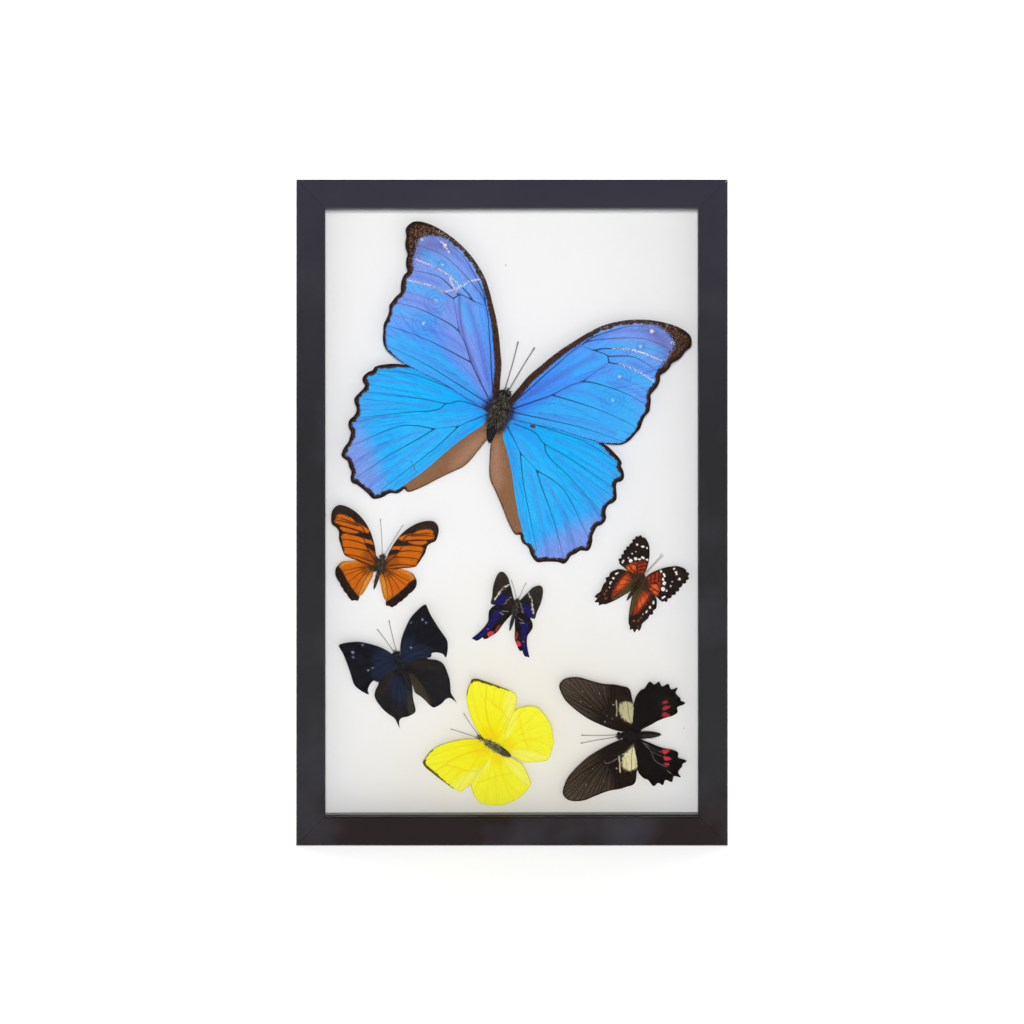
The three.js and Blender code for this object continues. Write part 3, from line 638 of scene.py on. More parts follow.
METALMARK_FORE = dict(
    outline=[
        (1, 3.8), (2.2, 6.1), (3.5, 8.3), (4.8, 10.4), (6.2, 11.6), (7.5, 12.2), (8.7, 11.8), (9.5, 10.4),
        (9.9, 7.8), (9.9, 4.8), (9.5, 2.3), (9.2, 0.2), (9.1, -2), (7.7, -2.3), (4.5, -1.5),
    ],
    right=AS_DRAWN,
    left=(0.4, 1.013, (1.6, 1.6)),
    ground=((0, "#292321"), (0.6, "#312B27"), (1, "#3A322B")),
    veins=veins(
        0.26, 0.16, [(1.2, 2.5), (4, 6.5), (8, 11.2)], [(3.4, 4.6), (6.4, 7.2), (9.6, 9.2)],
        [(1.5, 1.8), (5, 4.2), (9.8, 6.5)], [(4, 3), (7, 3.8), (9.6, 4.2)],
        [(1.5, 1), (5, 1.8), (9.4, 2.3)], [(1.5, 0), (5, -0.8), (8.8, -1.8)],
    ),
    marks=dict(
        navy=[patch((4, 3.4), (6.1, 2.9), (7.2, 0.9), (7.8, -2), (5.5, -2), (3.7, -0.9), (2.8, 1.5))],
        black=[patch((2.9, 6.3), (4.7, 5), (5.6, 3.4), (2.8, 2.5), (1.3, 3.3))],
        white=[line(0.4, (3.7, 7.7), (5.7, 5.4), (6.4, 3.9), (7, 2.2), (7.8, 0.1))],
        flecks=[lines(0.3, [(1.2, 2.8), (2.2, 2)], [(2, 1.3), (3.2, 0.8)], [(2.7, 0.2), (3.6, -0.9)])],
    ),
)

METALMARK_HIND = dict(
    outline=[
        (3.7, -1.1), (6.3, -1.7), (7.5, -2.9), (8.7, -4.5), (9.1, -6.4), (8.6, -8.1), (7.9, -10),
        (8.2, -12.4), (9, -14.8), (10, -17), (10.9, -18.8), (9.7, -18.9), (9, -19), (8.1, -18.1),
        (7.2, -16.8), (6.6, -17.2), (5.5, -16.6), (4.7, -15.4), (3.4, -13.6), (2.6, -11.7), (2.1, -9.1),
        (1.3, -6.3),
    ],
    right=AS_DRAWN,
    left=(9.5, 1.103, (-0.4, 1.5)),
    ground=((0, "#221D1B"), (1, "#1E1A19")),
    veins=veins(
        0.26, 0.16, [(1.4, -2.6), (4.5, -4), (8.8, -6.5)],
        [(1.2, -3.2), (4.5, -8), (7.2, -12.6), (9.8, -18)], [(1.2, -3.4), (4.8, -6), (8.2, -9.2)],
        [(1, -3.6), (3, -8), (4.4, -13.6)],
    ),
    marks=dict(
        navy=[patch(
            (3.8, -5), (5.5, -4.4), (7.4, -6.2), (7.3, -9.3), (7.8, -12.8), (9.8, -16.3), (10.7, -18.6),
            (9.1, -18.6), (7.3, -16), (6, -12.7), (5, -8.9),
        )],
        flecks=[lines(0.28, [(2.2, -3.6), (4.4, -4.4)], [(3.4, -5.4), (5.2, -5.2)])],
        dull=[patch((3.9, -12.3), (3.7, -10.3), (2.8, -9.6), (2.7, -11.4), (3.4, -12.9))],
        red=[patch((6.1, -14.9), (5.7, -13.6), (4.1, -13.2), (4.3, -14.8), (5.2, -15.6))],
        pink=[dots(0.3, (6.8, -13))],
    ),
)

METALMARK = dict(
    slot="metalmark",
    sheen=0.06,
    at=(1.8, 100.2),
    heading=14.3,
    thorax=(2.9, 5, 2.6),
    head=(3.3, 0.95),
    abdomen=(-10, 0.8, 0),
    antennae=[(-4.8, 11.5), (1.7, 12)],
    legs=2,
    wing_at=1.8,
    rise=0.05,
    step=0.27,
    thick=0.2,
    pleat=0.08,
    fore=METALMARK_FORE,
    hind=METALMARK_HIND,
    paints=[
        ("navy", "#201E5C", 0.6, 0.7, 1),
        ("black", "#231F21", 0.8, 0.3, 0.8),
        ("veins", "#161419", 0.3, 0.1, 0.75),
        ("white", "#E2D8C2", 0.35, 1.1, 0.9),
        ("flecks", "#9A9080", 0.3, 0.35, 0.8),
        ("dull", "#93392F", 0.5, 0.5, 0.9),
        ("red", "#D23A40", 0.4, 0.4, 1),
        ("pink", "#C85BA8", 0.25, 0.15, 0.9),
    ],
    fur=("#1E1C1C", "#8A857C"),
    skin="#211E1F",
)

PEACOCK_FORE = dict(
    outline=[
        (1.1, 3.9), (1.8, 6.3), (3.2, 8.7), (5, 11.2), (7, 13.3), (9.5, 15.3), (11.9, 16.2), (14.1, 16.3),
        (15.6, 15.8), (16.5, 14.8), (17, 13.2), (16.8, 11.2), (16.2, 9.3), (16.3, 7.9), (16.1, 5.9),
        (15.5, 3.9), (14.9, 2), (14.5, 0.2), (13.6, -0.7), (11.8, -0.8), (10, -0.5), (6.2, -0.5),
    ],
    right=AS_DRAWN,
    left=(13.5, 0.907, (0, 0.8)),
    teeth=(0.4, 0.86, 9, 0.8),
    ground=((0, "#4E3E28"), (0.2, "#3C2A1E"), (0.5, "#211916"), (1, "#281F19")),
    veins=veins(
        0.3, 0.2, [(1.6, 2), (4.6, 5.4), (8, 10), (12.6, 15.4)],
        [(1.8, 1.2), (5.6, 4), (9.4, 8.2), (16, 13.4)], [(7, 5.4), (11, 7.6), (16.2, 9.4)],
        [(5.6, 4), (10.4, 4.9), (15.9, 5.8)], [(2.6, 1.2), (8, 1.8), (14.9, 2)],
        [(2.4, 0.6), (8, 0.2), (13.4, -0.5)],
    ),
    marks=dict(
        red=[patch(
            (1.9, 4.3), (3.2, 7.2), (5.2, 9), (7.2, 6.6), (8.6, 4), (9.4, 0), (6.5, 0.2), (4.2, 2),
            (3, 3.6),
        )],
        bright=[patch((5.6, 2), (7, 4.7), (8.4, 3.4), (9.2, -0.1), (6.6, 0.3))],
        bars=[
            lines(0.7, [(2.6, 6), (4.4, 3.2)], [(5, 8.6), (6.9, 5.4)]), line(0.8, (3.7, 7.6), (5.6, 4.2)),
            line(0.6, (5.2, 3.6), (6.8, 4.5), (8.4, 3.4)),
            lines(0.5, [(4.2, 2.4), (6.4, 1.6), (9, 1.8)], [(6.4, 0), (7.4, 2)]),
        ],
        border=[band((0, 0.2), (0.35, 0.3), (0.45, 0.5), (0.8, 0.5), (1, 0.2))],
        white=[
            lines(
                0.8, [(5.1, 10), (5.4, 9.8)], [(6.8, 9.4), (7.7, 9)], [(7.6, 7.6), (8, 7.3)],
                [(10.7, 13.1), (11.5, 12.5)],
            ),
            dots(0.75, (9.3, 6.3)), dots(0.85, (10.2, 4)),
            dots(0.38, (11.9, 4.1), (12.1, 6.8), (9.3, 13.8)), dots(0.22, (11.7, 8.7)),
            line(0.7, (12.5, 1.5), (12.1, 0.6)), dots(0.55, (13.6, 11.4)),
        ],
    ),
)

PEACOCK_HIND = dict(
    outline=[
        (3.3, 0), (7.2, 0), (10.1, -1.1), (11.5, -2.9), (12.3, -4.7), (11.8, -6.2), (12.6, -7.5),
        (11.6, -8.5), (11.8, -10), (11.4, -11.7), (11, -13.5), (11.5, -15), (11.6, -16.7), (10.4, -16.5),
        (10.3, -18.4), (8.8, -17.6), (8.1, -18.5), (7.1, -17.2), (6, -16.4), (4.3, -13.7), (2.9, -10.9),
        (1.5, -7.6), (0.5, -4.5),
    ],
    right=AS_DRAWN,
    left=(2.6, 1.024, (-0.3, 1.5)),
    ground=((0, "#4C3E24"), (0.35, "#33281C"), (0.55, "#231A15"), (0.85, "#2A1F18"), (1, "#31261C")),
    veins=veins(
        0.28, 0.18, [(2, -1.4), (6.6, -1.4), (11.2, -3)], [(2, -2), (7, -4), (12, -7)],
        [(1.8, -2.6), (6.4, -6.8), (11.4, -12)], [(1.6, -3), (5, -8.6), (9.8, -16.8)],
        [(1.2, -3.4), (3.8, -9), (7.2, -16.4)],
    ),
    marks=dict(
        olive=[patch(
            (2.8, -1.6), (0.6, -2.8), (1.4, -7.6), (4.2, -13.6), (5, -11.7), (4.1, -7.5), (3.8, -3.1),
        )],
        red=[patch(
            (4.2, -1.2), (6.6, -0.5), (7.3, -3.2), (7.4, -6), (6.8, -10), (5.6, -12.6), (4.6, -9.6),
            (4, -6.7), (3.6, -3.2),
        )],
        bright=[patch((5.7, -2), (4.8, -4.4), (5, -7.8), (6.5, -8), (6.7, -3.8))],
        bars=[line(0.4, (7, -1), (7.2, -5), (6.8, -9))],
        border=[band((0, 0.2), (0.2, 0.4), (0.75, 0.55), (0.8, 0.2), (1, 0.2))],
        rust=[dots(0.5, (9.2, -11.6), (7.4, -14.4), (8.9, -13.3)), dots(0.3, (10.2, -15.4))],
        white=[
            line(0.6, (9.7, -2.8), (10.1, -3.7)), dots(0.5, (9.9, -5.7)),
            line(0.55, (9.8, -7.7), (9.6, -8.4)), dots(0.22, (9, -9.8)),
        ],
    ),
)

RED_PEACOCK = dict(
    slot="peacock",
    at=(54.2, 110.9),
    heading=33.5,
    thorax=(3.2, 5.4, 2.8),
    head=(3.6, 1.05),
    abdomen=(-8.7, 0.85, 0),
    antennae=[(1.5, 16.4), (2.4, 16)],
    legs=2,
    wing_at=1.9,
    rise=0.04,
    step=0.3,
    thick=0.2,
    pleat=0.1,
    fore=PEACOCK_FORE,
    hind=PEACOCK_HIND,
    paints=[
        ("olive", "#584A2C", 2, 1.4, 0.9),
        ("red", "#A93920", 1.2, 1.4, 0.95),
        ("bright", "#E0662B", 1.8, 1.4, 0.8),
        ("bars", "#4A1A12", 0.45, 0.6, 0.9),
        ("veins", "#2B1813", 0.3, 0.14, 0.8),
        ("border", "#201814", 0.5, 0.35, 0.9),
        ("rust", "#8A5438", 0.4, 0.4, 0.7),
        ("white", "#F6F1E9", 0.35, 0.5, 1),
    ],
    fur=("#2A231B", "#6B5C3E"),
    skin="#251E18",
)

LEAFWING_FORE = dict(
    outline=[
        (1.7, 4.8), (2.9, 7.7), (5, 11), (8, 14.3), (11.3, 17.2), (14.9, 19.1), (17.8, 20.2),
        (19.5, 20.3), (19.7, 18.9), (19.8, 15.9), (20.4, 12), (21.2, 7.9), (22, 4.7), (22.3, 2.1),
        (21.1, -1.2), (19.2, -4), (18.5, -2.2), (16.6, -0.7), (14.3, -0.1), (12.9, -1.5), (7.5, 0),
    ],
    right=AS_DRAWN,
    left=(-8.8, 1.012, (-1.2, 0.4)),
    ground=((0, "#1F2534"), (0.4, "#191B22"), (1, "#1A191B")),
    veins=veins(
        0.34, 0.2, [(2, 2.4), (7, 8), (12.6, 14.6), (19, 19.6)],
        [(2.2, 1.8), (7.4, 5.6), (11.2, 9.8), (12.4, 12.4)], [(11.2, 9.8), (15.4, 13.4), (19.6, 16)],
        [(11.4, 9.6), (16, 11), (20.4, 12)], [(7.4, 5.6), (14, 7), (21.2, 7.8)],
        [(4.6, 3.4), (12, 3.4), (22, 4)], [(2.6, 1.2), (10, 0.8), (20.6, -1.4)],
    ),
    marks=dict(
        blue=[patch(
            (2, 4.4), (4.2, 8.4), (7.7, 9), (10, 5.9), (13.2, 2.9), (12.9, -0.8), (9.3, -1.2), (2.8, 0),
        )],
        spots=[dots(0.36, (10.8, 15.4), (16.8, 12.9)), dots(0.55, (15.9, 14.8))],
    ),
    extra=dict(
        right=dict(flecks=[dots(0.3, (6.9, 5.4))]),
        left=dict(
            flecks=[dots(0.26, (12, 4.8)), line(0.34, (13.7, 4.6), (14.3, 5))],
            blue=[patch((1, 3), (4, 9), (9, 9), (12, 4), (12, -1), (4, -1))],
        ),
    ),
)

LEAFWING_HIND = dict(
    outline=[
        (5.6, 2.2), (9.9, 0), (12.3, -2.1), (14.7, -3.4), (16.5, -5), (17.3, -7.2), (17.4, -10.1),
        (17.2, -13.3), (16.5, -16), (15.6, -18.9), (15.9, -21.1), (16.3, -23.8), (15.6, -22.5),
        (14.3, -20.9), (12.4, -20.8), (10.3, -21.8), (6.8, -22.3), (5.3, -20.9), (4.2, -18.2),
        (2.8, -15.5), (1.4, -13.3), (1.4, -9.6), (0.4, -5.7),
    ],
    right=AS_DRAWN,
    left=(-15.1, 0.945, (1.3, 0.7)),
    ground=((0, "#201E20"), (1, "#232124")),
    veins=veins(
        0.3, 0.2, [(2.4, -1.8), (8.6, -3.2), (17, -7.4)], [(2.4, -2.4), (8, -6.6), (17.4, -12.8)],
        [(2.2, -3), (7.2, -9.4), (15.8, -19)], [(2, -3.4), (5.8, -11), (11, -21.6)],
        [(1.6, -3.8), (4, -12), (6.8, -21.6)],
    ),
    marks=dict(
        rust=[patch((3.8, -0.1), (9.6, -2.4), (14.9, -4.6), (15, -7.7), (8.8, -4.9), (3.4, -2.4))],
    ),
    extra=dict(
        right=dict(
            olive=[patch(
                (2.8, -5), (4.3, -8.2), (5.5, -13.3), (6, -19.6), (4.5, -18.6), (2.7, -15), (1, -11.7),
                (0.8, -6),
            )],
        ),
        left=dict(
            olive=[patch((3, -12), (4.6, -17.3), (6.8, -22.5), (9, -22), (6.3, -16.2))],
            blue=[patch((4, -2.6), (9.6, -6.4), (9.8, -14.4), (5.9, -15.8), (2.6, -9))],
        ),
    ),
)

LEAFWING = dict(
    slot="leafwing",
    sheen=0.06,
    at=(-47.3, 76),
    heading=-21.6,
    thorax=(4.4, 7, 3.2),
    head=(5, 1.4),
    abdomen=(-13.2, 1.25, 0.4),
    antennae=[(-3.7, 18.2), (2.5, 19.9)],
    legs=2,
    wing_at=2.3,
    rise=0.03,
    step=0.36,
    thick=0.2,
    pleat=0.1,
    fore=LEAFWING_FORE,
    hind=LEAFWING_HIND,
    paints=[
        ("blue", "#262D44", 4, 1.2, 0.7),
        ("rust", "#352A26", 2.4, 0.7, 0.5),
        ("olive", "#403A2E", 1.6, 0.6, 0.9),
        ("veins", "#0F0E12", 0.3, 0.1, 0.6),
        ("spots", "#8B90B8", 0.7, 0.6, 0.75),
        ("flecks", "#C8CBDB", 0.25, 0.2, 0.9),
    ],
    fur=("#17161A", "#55565E"),
    skin="#19181B",
)

SULPHUR_FORE = dict(
    outline=[
        (0.5, 2.3), (0.7, 5), (2.1, 8), (4.3, 11.2), (7.6, 14.8), (10.8, 17.6), (13.8, 19.5),
        (16.7, 20.5), (19.6, 20.7), (21.5, 20.7), (22.7, 18.8), (23.2, 15.7), (23.7, 12.1), (24, 8.6),
        (24.4, 4.6), (24.3, 1.9), (23.5, 0.1), (20.7, -1), (18.8, -1.8), (12.5, -2), (6.4, -2.4),
    ],
    right=(4.8, 0.985, (0.5, -0.9)),
    left=AS_DRAWN,
    ground=((0, "#F0DC10"), (0.25, "#F5EC1C"), (1, "#F7F432")),
    veins=veins(
        0.4, 0.24, [(0.8, 2), (6, 9), (14, 16.5), (20, 20)],
        [(2, 0), (7.6, 5.8), (14.2, 10.8), (21.2, 17.7)], [(14.2, 10.8), (17.5, 12), (22.6, 14.2)],
        [(15.8, 8), (19, 9), (23.6, 10.5)], [(15.2, 4.6), (19, 5.5), (24.2, 6)],
        [(6, 1.6), (14, 1.8), (24, 2)], [(3, -0.4), (12, -0.9), (20, -1)],
    ),
    marks=dict(
        deep=[patch((0, -1), (4, 0), (7, 4), (4, 8), (0, 5))],
        # Painted shade along the wing's creases.
        fold=[
            line(0.5, (3.5, 0.7), (7.6, 5.8), (13.1, 10), (21.6, 13.9)),
            line(0.4, (17.5, 12), (15.8, 7), (15.4, 3.8), (12.7, -1.2)),
        ],
        rim=[band((0, 0.16), (1, 0.16))],
        pale=[patch((12, -1.6), (19, -0.6), (24, 2), (22, 4), (14, 0.8))],
        border=[
            lines(
                0.8, [(14.6, 19.9), (16.7, 20.6), (19.6, 20.8), (21.4, 20.7)], [(24.1, 8.6), (24.5, 4)],
            ),
            line(2.2, (20.8, 20.8), (22, 20.3), (23, 18)),
            line(2.1, (22.8, 18.8), (23.3, 15.4), (23.6, 12.6)), line(1.5, (23.6, 12.6), (24.1, 8.6)),
        ],
    ),
)

SULPHUR_HIND = dict(
    outline=[
        (6, -0.9), (13.4, -0.3), (18.8, -1.8), (21.1, -3.9), (22.6, -5.9), (23.6, -8.9), (23.2, -11.5),
        (21.7, -14.8), (19.5, -18.1), (16.5, -20.5), (13, -22.6), (9.1, -23.5), (5.5, -23.7),
        (3.7, -21.6), (1.5, -18.4), (0.1, -15.2), (0.1, -11.4), (0.3, -6.6),
    ],
    right=(4.1, 0.997, (-0.2, -1.3)),
    left=AS_DRAWN,
    ground=((0, "#F4E616"), (0.3, "#F6F12A"), (1, "#F8F536")),
    veins=veins(
        0.36, 0.22, [(2.5, -3.3), (10.1, -5.9), (22.6, -11.3)], [(1.2, -5.5), (9.2, -11.4), (15, -21)],
        [(0.8, -5.6), (5.9, -14.5), (6.9, -22.7)], [(4, -2.4), (12, -2.8), (21.5, -4.8)],
        [(9.2, -8), (15, -12), (20.6, -16)], [(7, -9.6), (10.4, -15), (11.4, -22.6)],
        [(0.8, -6), (2.2, -13), (3, -20.5)],
    ),
    marks=dict(
        deep=[patch((0.4, -4), (4, -3), (7, -6), (4, -9), (0.6, -8))],
        rim=[band((0, 0.16), (1, 0.16))],
        pale=[
            patch((1.9, -8.5), (1, -13.3), (3.6, -20.6), (6.3, -23.8), (5.8, -18.3), (4.1, -12.4)),
            patch((7, -1.4), (13, -0.6), (18, -2), (12, -3.4), (7, -3.6)),
        ],
        # Painted shade along the wing's creases.
        fold=[line(0.4, (16.7, -4.2), (11.5, -8.4), (8.3, -11.5), (5.9, -14.3))],
    ),
)

YELLOW_SULPHUR = dict(
    slot="sulphur",
    powder=0.09,
    at=(-9, 41.9),
    heading=-58.7,
    thorax=(4, 7, 3.2),
    head=(5, 1.3),
    abdomen=(-10.4, 1.65, 0),
    antennae=[(-3.2, 18), (5.5, 16.7)],
    legs=3,
    wing_at=2.3,
    rise=0.03,
    step=0.38,
    thick=0.2,
    pleat=0.14,
    fore=SULPHUR_FORE,
    hind=SULPHUR_HIND,
    paints=[
        ("deep", "#F3DC0C", 4, 0.8, 0.75),
        ("pale", "#F8F678", 4, 0.8, 0.7),
        # Painted shade along the creases.
        ("fold", "#E6C40E", 0.9, 0.3, 0.5),
        ("veins", "#EACF10", 0.7, 0.2, 0.45),
        ("rim", "#A79F30", 0.3, 0.2, 0.7),
        ("border", "#463618", 0.4, 0.8, 0.95),
    ],
    fur=("#585240", "#FFF8B8"),
    skin="#3A3833",
)

SWALLOWTAIL_FORE = dict(
    outline=[
        (1.2, 0.5), (1.8, 4.9), (3.3, 8.9), (5.5, 13.4), (8.1, 17.9), (11.2, 21.9), (14.3, 25.2),
        (17.4, 27.8), (20.6, 29.3), (23.4, 30), (25.4, 29.2), (26.8, 27.3), (27.3, 24.1), (26.9, 20.5),
        (25.4, 16.4), (24.1, 12.8), (23.2, 9.5), (22.7, 5.5), (21.8, 2.3), (21.1, -0.1), (19.4, -1.4),
        (16, -1.9), (12, -2.4), (6.8, -1.5),
    ],
    right=(1.9, 0.964, (0.5, 0.3)),
    left=AS_DRAWN,
    ground=((0, "#1B1613"), (0.38, "#261F1A"), (0.56, "#42372D"), (1, "#54483C")),
    veins=veins(
        0.5, 0.3, [(1.6, 1), (6, 7), (9.5, 12.5)], [(9.5, 12.5), (12, 11.5), (12.6, 8.6)],
        [(2.2, 0), (7, 4), (12.6, 8.6)], [(9.5, 12.5), (14, 19.5), (19.5, 28)],
        [(9.8, 13), (16, 20.5), (23.5, 29.6)], [(10.6, 12.8), (18, 20), (26, 28)],
        [(11.6, 12.2), (19, 18), (27, 23)], [(12.2, 10.6), (19, 14.6), (26.2, 18)],
        [(12.6, 9.2), (18.6, 11.4), (24.6, 14)], [(12.4, 8.6), (17, 8.8), (23.2, 9.6)],
        [(10, 6.6), (15, 6), (22.5, 5.6)], [(7, 4), (13, 2.2), (21.6, 1.2)],
    ),
    marks=dict(
        dark=[patch(
            (8, -2.6), (14, -2.6), (20, -1.6), (22, 2), (23, 8), (18, 8.6), (13, 9), (10, 7), (5, 2),
        )],
        rays=[
            lines(
                0.34, [(13, 18.6), (21.4, 28.9)], [(14.5, 17), (24.8, 28.9)], [(15, 15.6), (26.8, 25.4)],
                [(15.4, 13.4), (26.8, 20.6)], [(15.4, 11.4), (25.4, 16)], [(15, 9.9), (23.9, 11.8)],
                [(14.6, 7.4), (22.9, 7.5)],
            ),
            lines(0.3, [(6, 9.8), (15.6, 24.6)], [(10.6, 17.6), (17.8, 27.4)]),
        ],
        border=[band((0, 0.4), (0.5, 0.5), (0.8, 0.6), (1, 0.3))],
        cream=[patch(
            (4.8, -1.8), (5.5, -2.4), (9.8, -2.2), (13.6, -1.8), (14.9, 1.1), (13.9, 3.4), (11.8, 4.1),
            (8.7, 3.5), (6.2, 1.3),
        )],
        streak=[line(0.5, (8.6, 5.5), (11.7, 5.2), (15.4, 5.2))],
        split=[
            line(0.34, (5.9, -0.5), (9.3, 0.1), (15.4, 0.4)), line(0.24, (9, 3), (12, 2.4), (15, 2.6)),
        ],
        flecks=[dots(0.24, (16.2, 21), (19, 12.4), (13.6, 16.8), (20.6, 19.8)), dots(0.4, (13.8, 6.6))],
    ),
    extra=dict(
        right=dict(
            dull=[patch((3, -4), (16, -4), (17, 6), (8, 7))],
            flecks=[dots(0.38, (6.4, 10.8)), dots(0.24, (7.6, 7.4), (9, 9.6))],
        ),
        left=dict(
            grey=[line(0.26, (3.3, -1.4), (9.1, 5.3), (11.5, 10.5), (10.7, 11.8))],
        ),
    ),
)

SWALLOWTAIL_HIND = dict(
    outline=[
        (4.1, -0.3), (9.7, -0.5), (15.2, -2.3), (17.2, -3.5), (18.7, -5), (19.3, -6.6), (22, -8.9),
        (20.7, -10.9), (21.7, -12.9), (19.6, -14.1), (20.5, -16.8), (18.1, -17.8), (18.6, -20.6),
        (16.6, -19.6), (15, -20.5), (14, -21.5), (13, -21.6), (11.9, -23.4), (11.1, -22.4), (10.2, -19.9),
        (8, -19.8), (6.7, -17.4), (6, -14.2), (4.9, -11), (3.4, -7.9), (2.1, -4.7),
    ],
    right=(2.2, 1.007, (0.4, -0.6)),
    left=AS_DRAWN,
    ground=((0, "#1A1615"), (1, "#171413")),
    veins=veins(
        0.3, 0.2, [(2.6, -2), (10, -4), (18.8, -6)], [(2.6, -2.6), (10, -6.4), (20.6, -11)],
        [(2.4, -3.2), (9.6, -8.8), (19.2, -15.6)], [(2.2, -3.6), (8.4, -10.4), (15.2, -20)],
        [(2, -4), (7, -12), (11, -21.6)],
    ),
    marks=dict(
        red=[
            patch((6.6, -13.5), (6.5, -16), (7.2, -16.4), (8.5, -14.2), (7.6, -13.3)),
            patch((9.4, -13.7), (10, -16.4), (10.8, -16.9), (11.2, -14.8), (10.4, -13.8)),
            patch((12.1, -13.8), (12.6, -15.8), (13.5, -15.9), (13.2, -14.2)),
        ],
    ),
    extra=dict(
        right=dict(
            dull=[patch((5, -12.5), (15, -12.5), (15, -18), (5, -18))],
        ),
        left=dict(
            grey=[
                line(0.24, (3, -4.9), (7, -8.2), (11.4, -10.2), (14.1, -14.9)),
                line(0.2, (3, -4.9), (6.6, -10.4), (7.4, -13)), line(0.22, (7, -8.2), (9.6, -13.2)),
            ],
            flecks=[line(0.3, (15.4, -14.8), (16.8, -16.5))],
        ),
    ),
)

RUBY_SWALLOWTAIL = dict(
    slot="swallowtail",
    sheen=0.06,
    at=(51.1, 45.6),
    heading=-91.9,
    thorax=(4.2, 7.4, 3.3),
    head=(5, 1.25),
    abdomen=(-12.8, 1.6, 0),
    antennae=[(-2.6, 21.7), (0.9, 21.3)],
    legs=3,
    wing_at=2.4,
    rise=0.03,
    step=0.38,
    thick=0.2,
    pleat=0.14,
    fore=SWALLOWTAIL_FORE,
    hind=SWALLOWTAIL_HIND,
    paints=[
        ("dark", "#221B17", 3, 0.8, 0.95),
        ("rays", "#1B1512", 0.35, 0.15, 0.95),
        ("veins", "#181210", 0.4, 0.15, 0.85),
        ("border", "#1D1714", 0.5, 0.25, 0.9),
        ("cream", "#DDD5A4", 1, 1.6, 1),
        ("streak", "#CFC79A", 0.4, 0.3, 0.95),
        ("red", "#BE3A42", 0.5, 0.7, 1),
        ("dull", "#2A221C", 1, 0.4, 0.3),
        ("split", "#3A3024", 0.3, 0.15, 0.8),
        ("grey", "#8F8C89", 0.28, 0.15, 0.75),
        ("flecks", "#A69E90", 0.25, 0.25, 0.75),
    ],
    fur=("#121010", "#4E4A48"),
    skin="#1E1A19",
)

BUTTERFLIES = {
    "blue_morpho": BLUE_MORPHO,
    "orange_longwing": ORANGE_LONGWING,
    "metalmark": METALMARK,
    "red_peacock": RED_PEACOCK,
    "leafwing": LEAFWING,
    "yellow_sulphur": YELLOW_SULPHUR,
    "ruby_swallowtail": RUBY_SWALLOWTAIL,
}

# Where each pair of wings is rooted in the thorax: shares of its width and length.
ROOTS = dict(fore=(0.12, 0.3, -0.15), hind=(0.12, -0.02, -0.33))
WING_STEP = 0.45  # each hindwing lies this far below the forewing that covers its front edge
VEIN_WIDE, VEIN_HIGH = 0.35, 0.1  # how wide and how high a vein stands out of the wing
FOLD_WIDE = 1.6  # how far from a vein the wing has sunk into its pleat
WAVE_SEED = 7


def toothed(margin, first, last, count, depth):
    """A margin with a number of small teeth between two shares of its length."""
    share = np.linspace(0, 1, len(margin))
    along = np.gradient(margin, axis=0)
    along /= np.hypot(*along.T)[:, None]
    out = np.column_stack([-along[:, 1], along[:, 0]])
    run = np.clip((share - first) / (last - first), 0, 1)
    bite = (abs(np.cos(math.pi * count * run)) - 1) * depth * ((run > 0) & (run < 1))
    return margin + out * bite[:, None]


def wing_flat(wing, side, kind, thorax, step):
    """One wing's flat triangles, in the frame that its outline is drawn in, and how it is set.
    The triangles follow the margin and the veins, with an even lattice between them."""
    turn, size, shift = wing["right" if side > 0 else "left"]
    angle = math.radians(turn)
    setting = size * np.array([[math.cos(angle), math.sin(angle)], [-math.sin(angle), math.cos(angle)]])
    margin = toothed(smooth(wing["outline"], step), *wing.get("teeth", (0, 1, 0, 0)))
    inward, front, back = ROOTS[kind]
    root = np.array([(inward * thorax[0], back * thorax[1]), (inward * thorax[0], front * thorax[1])])
    outline = np.vstack([margin, (root - shift) @ np.linalg.inv(setting)])
    edge = closed_path(outline)

    points, edges, total = [outline], [], len(outline)
    for path in wing["veins"].runs:
        run = smooth(path[:: max(1, round(step / MARK_STEP))], step)
        run = run[inside(run, outline) & (nearest(run, edge)[0] > step * 0.4)]
        points.append(run)
        edges += [(total + i, total + i + 1) for i in range(len(run) - 1)]
        total += len(run)
    low, high = outline.min(0), outline.max(0)
    rows = np.arange(low[1], high[1], step * math.sqrt(3) / 2)
    columns = np.arange(low[0], high[0], step)
    lattice = np.array([(x + step / 2 * (j % 2), y) for j, y in enumerate(rows) for x in columns])
    lattice = lattice[inside(lattice, outline)]
    for path in [edge, *(run for run in points[1:] if len(run) > 1)]:
        lattice = lattice[nearest(lattice, path)[0] > step * 0.5]
    edges += [(i, (i + 1) % len(outline)) for i in range(len(outline))]
    made = delaunay_2d_cdt([Vector(p) for p in np.vstack([*points, lattice])], edges, [], 0, 1e-5, False)
    at, triangles = np.array([tuple(v) for v in made[0]]), np.array(made[2])
    triangles = triangles[inside(at[triangles].mean(1), outline)]
    used = np.unique(triangles)
    return at[used], np.searchsorted(used, triangles), margin, setting, np.array(shift)


def soft_wave(at, length, seed):
    """A smooth, uneven height over a wing, about -1 to 1, with bumps of about that length."""
    rng = np.random.default_rng(seed)
    total = np.zeros(len(at))
    for _ in range(6):
        turn, phase = rng.uniform(0, 2 * math.pi, 2)
        pitch = length * rng.uniform(0.7, 1.8)
        total += np.sin((at @ (math.cos(turn), math.sin(turn))) * 2 * math.pi / pitch + phase)
    return total / 3


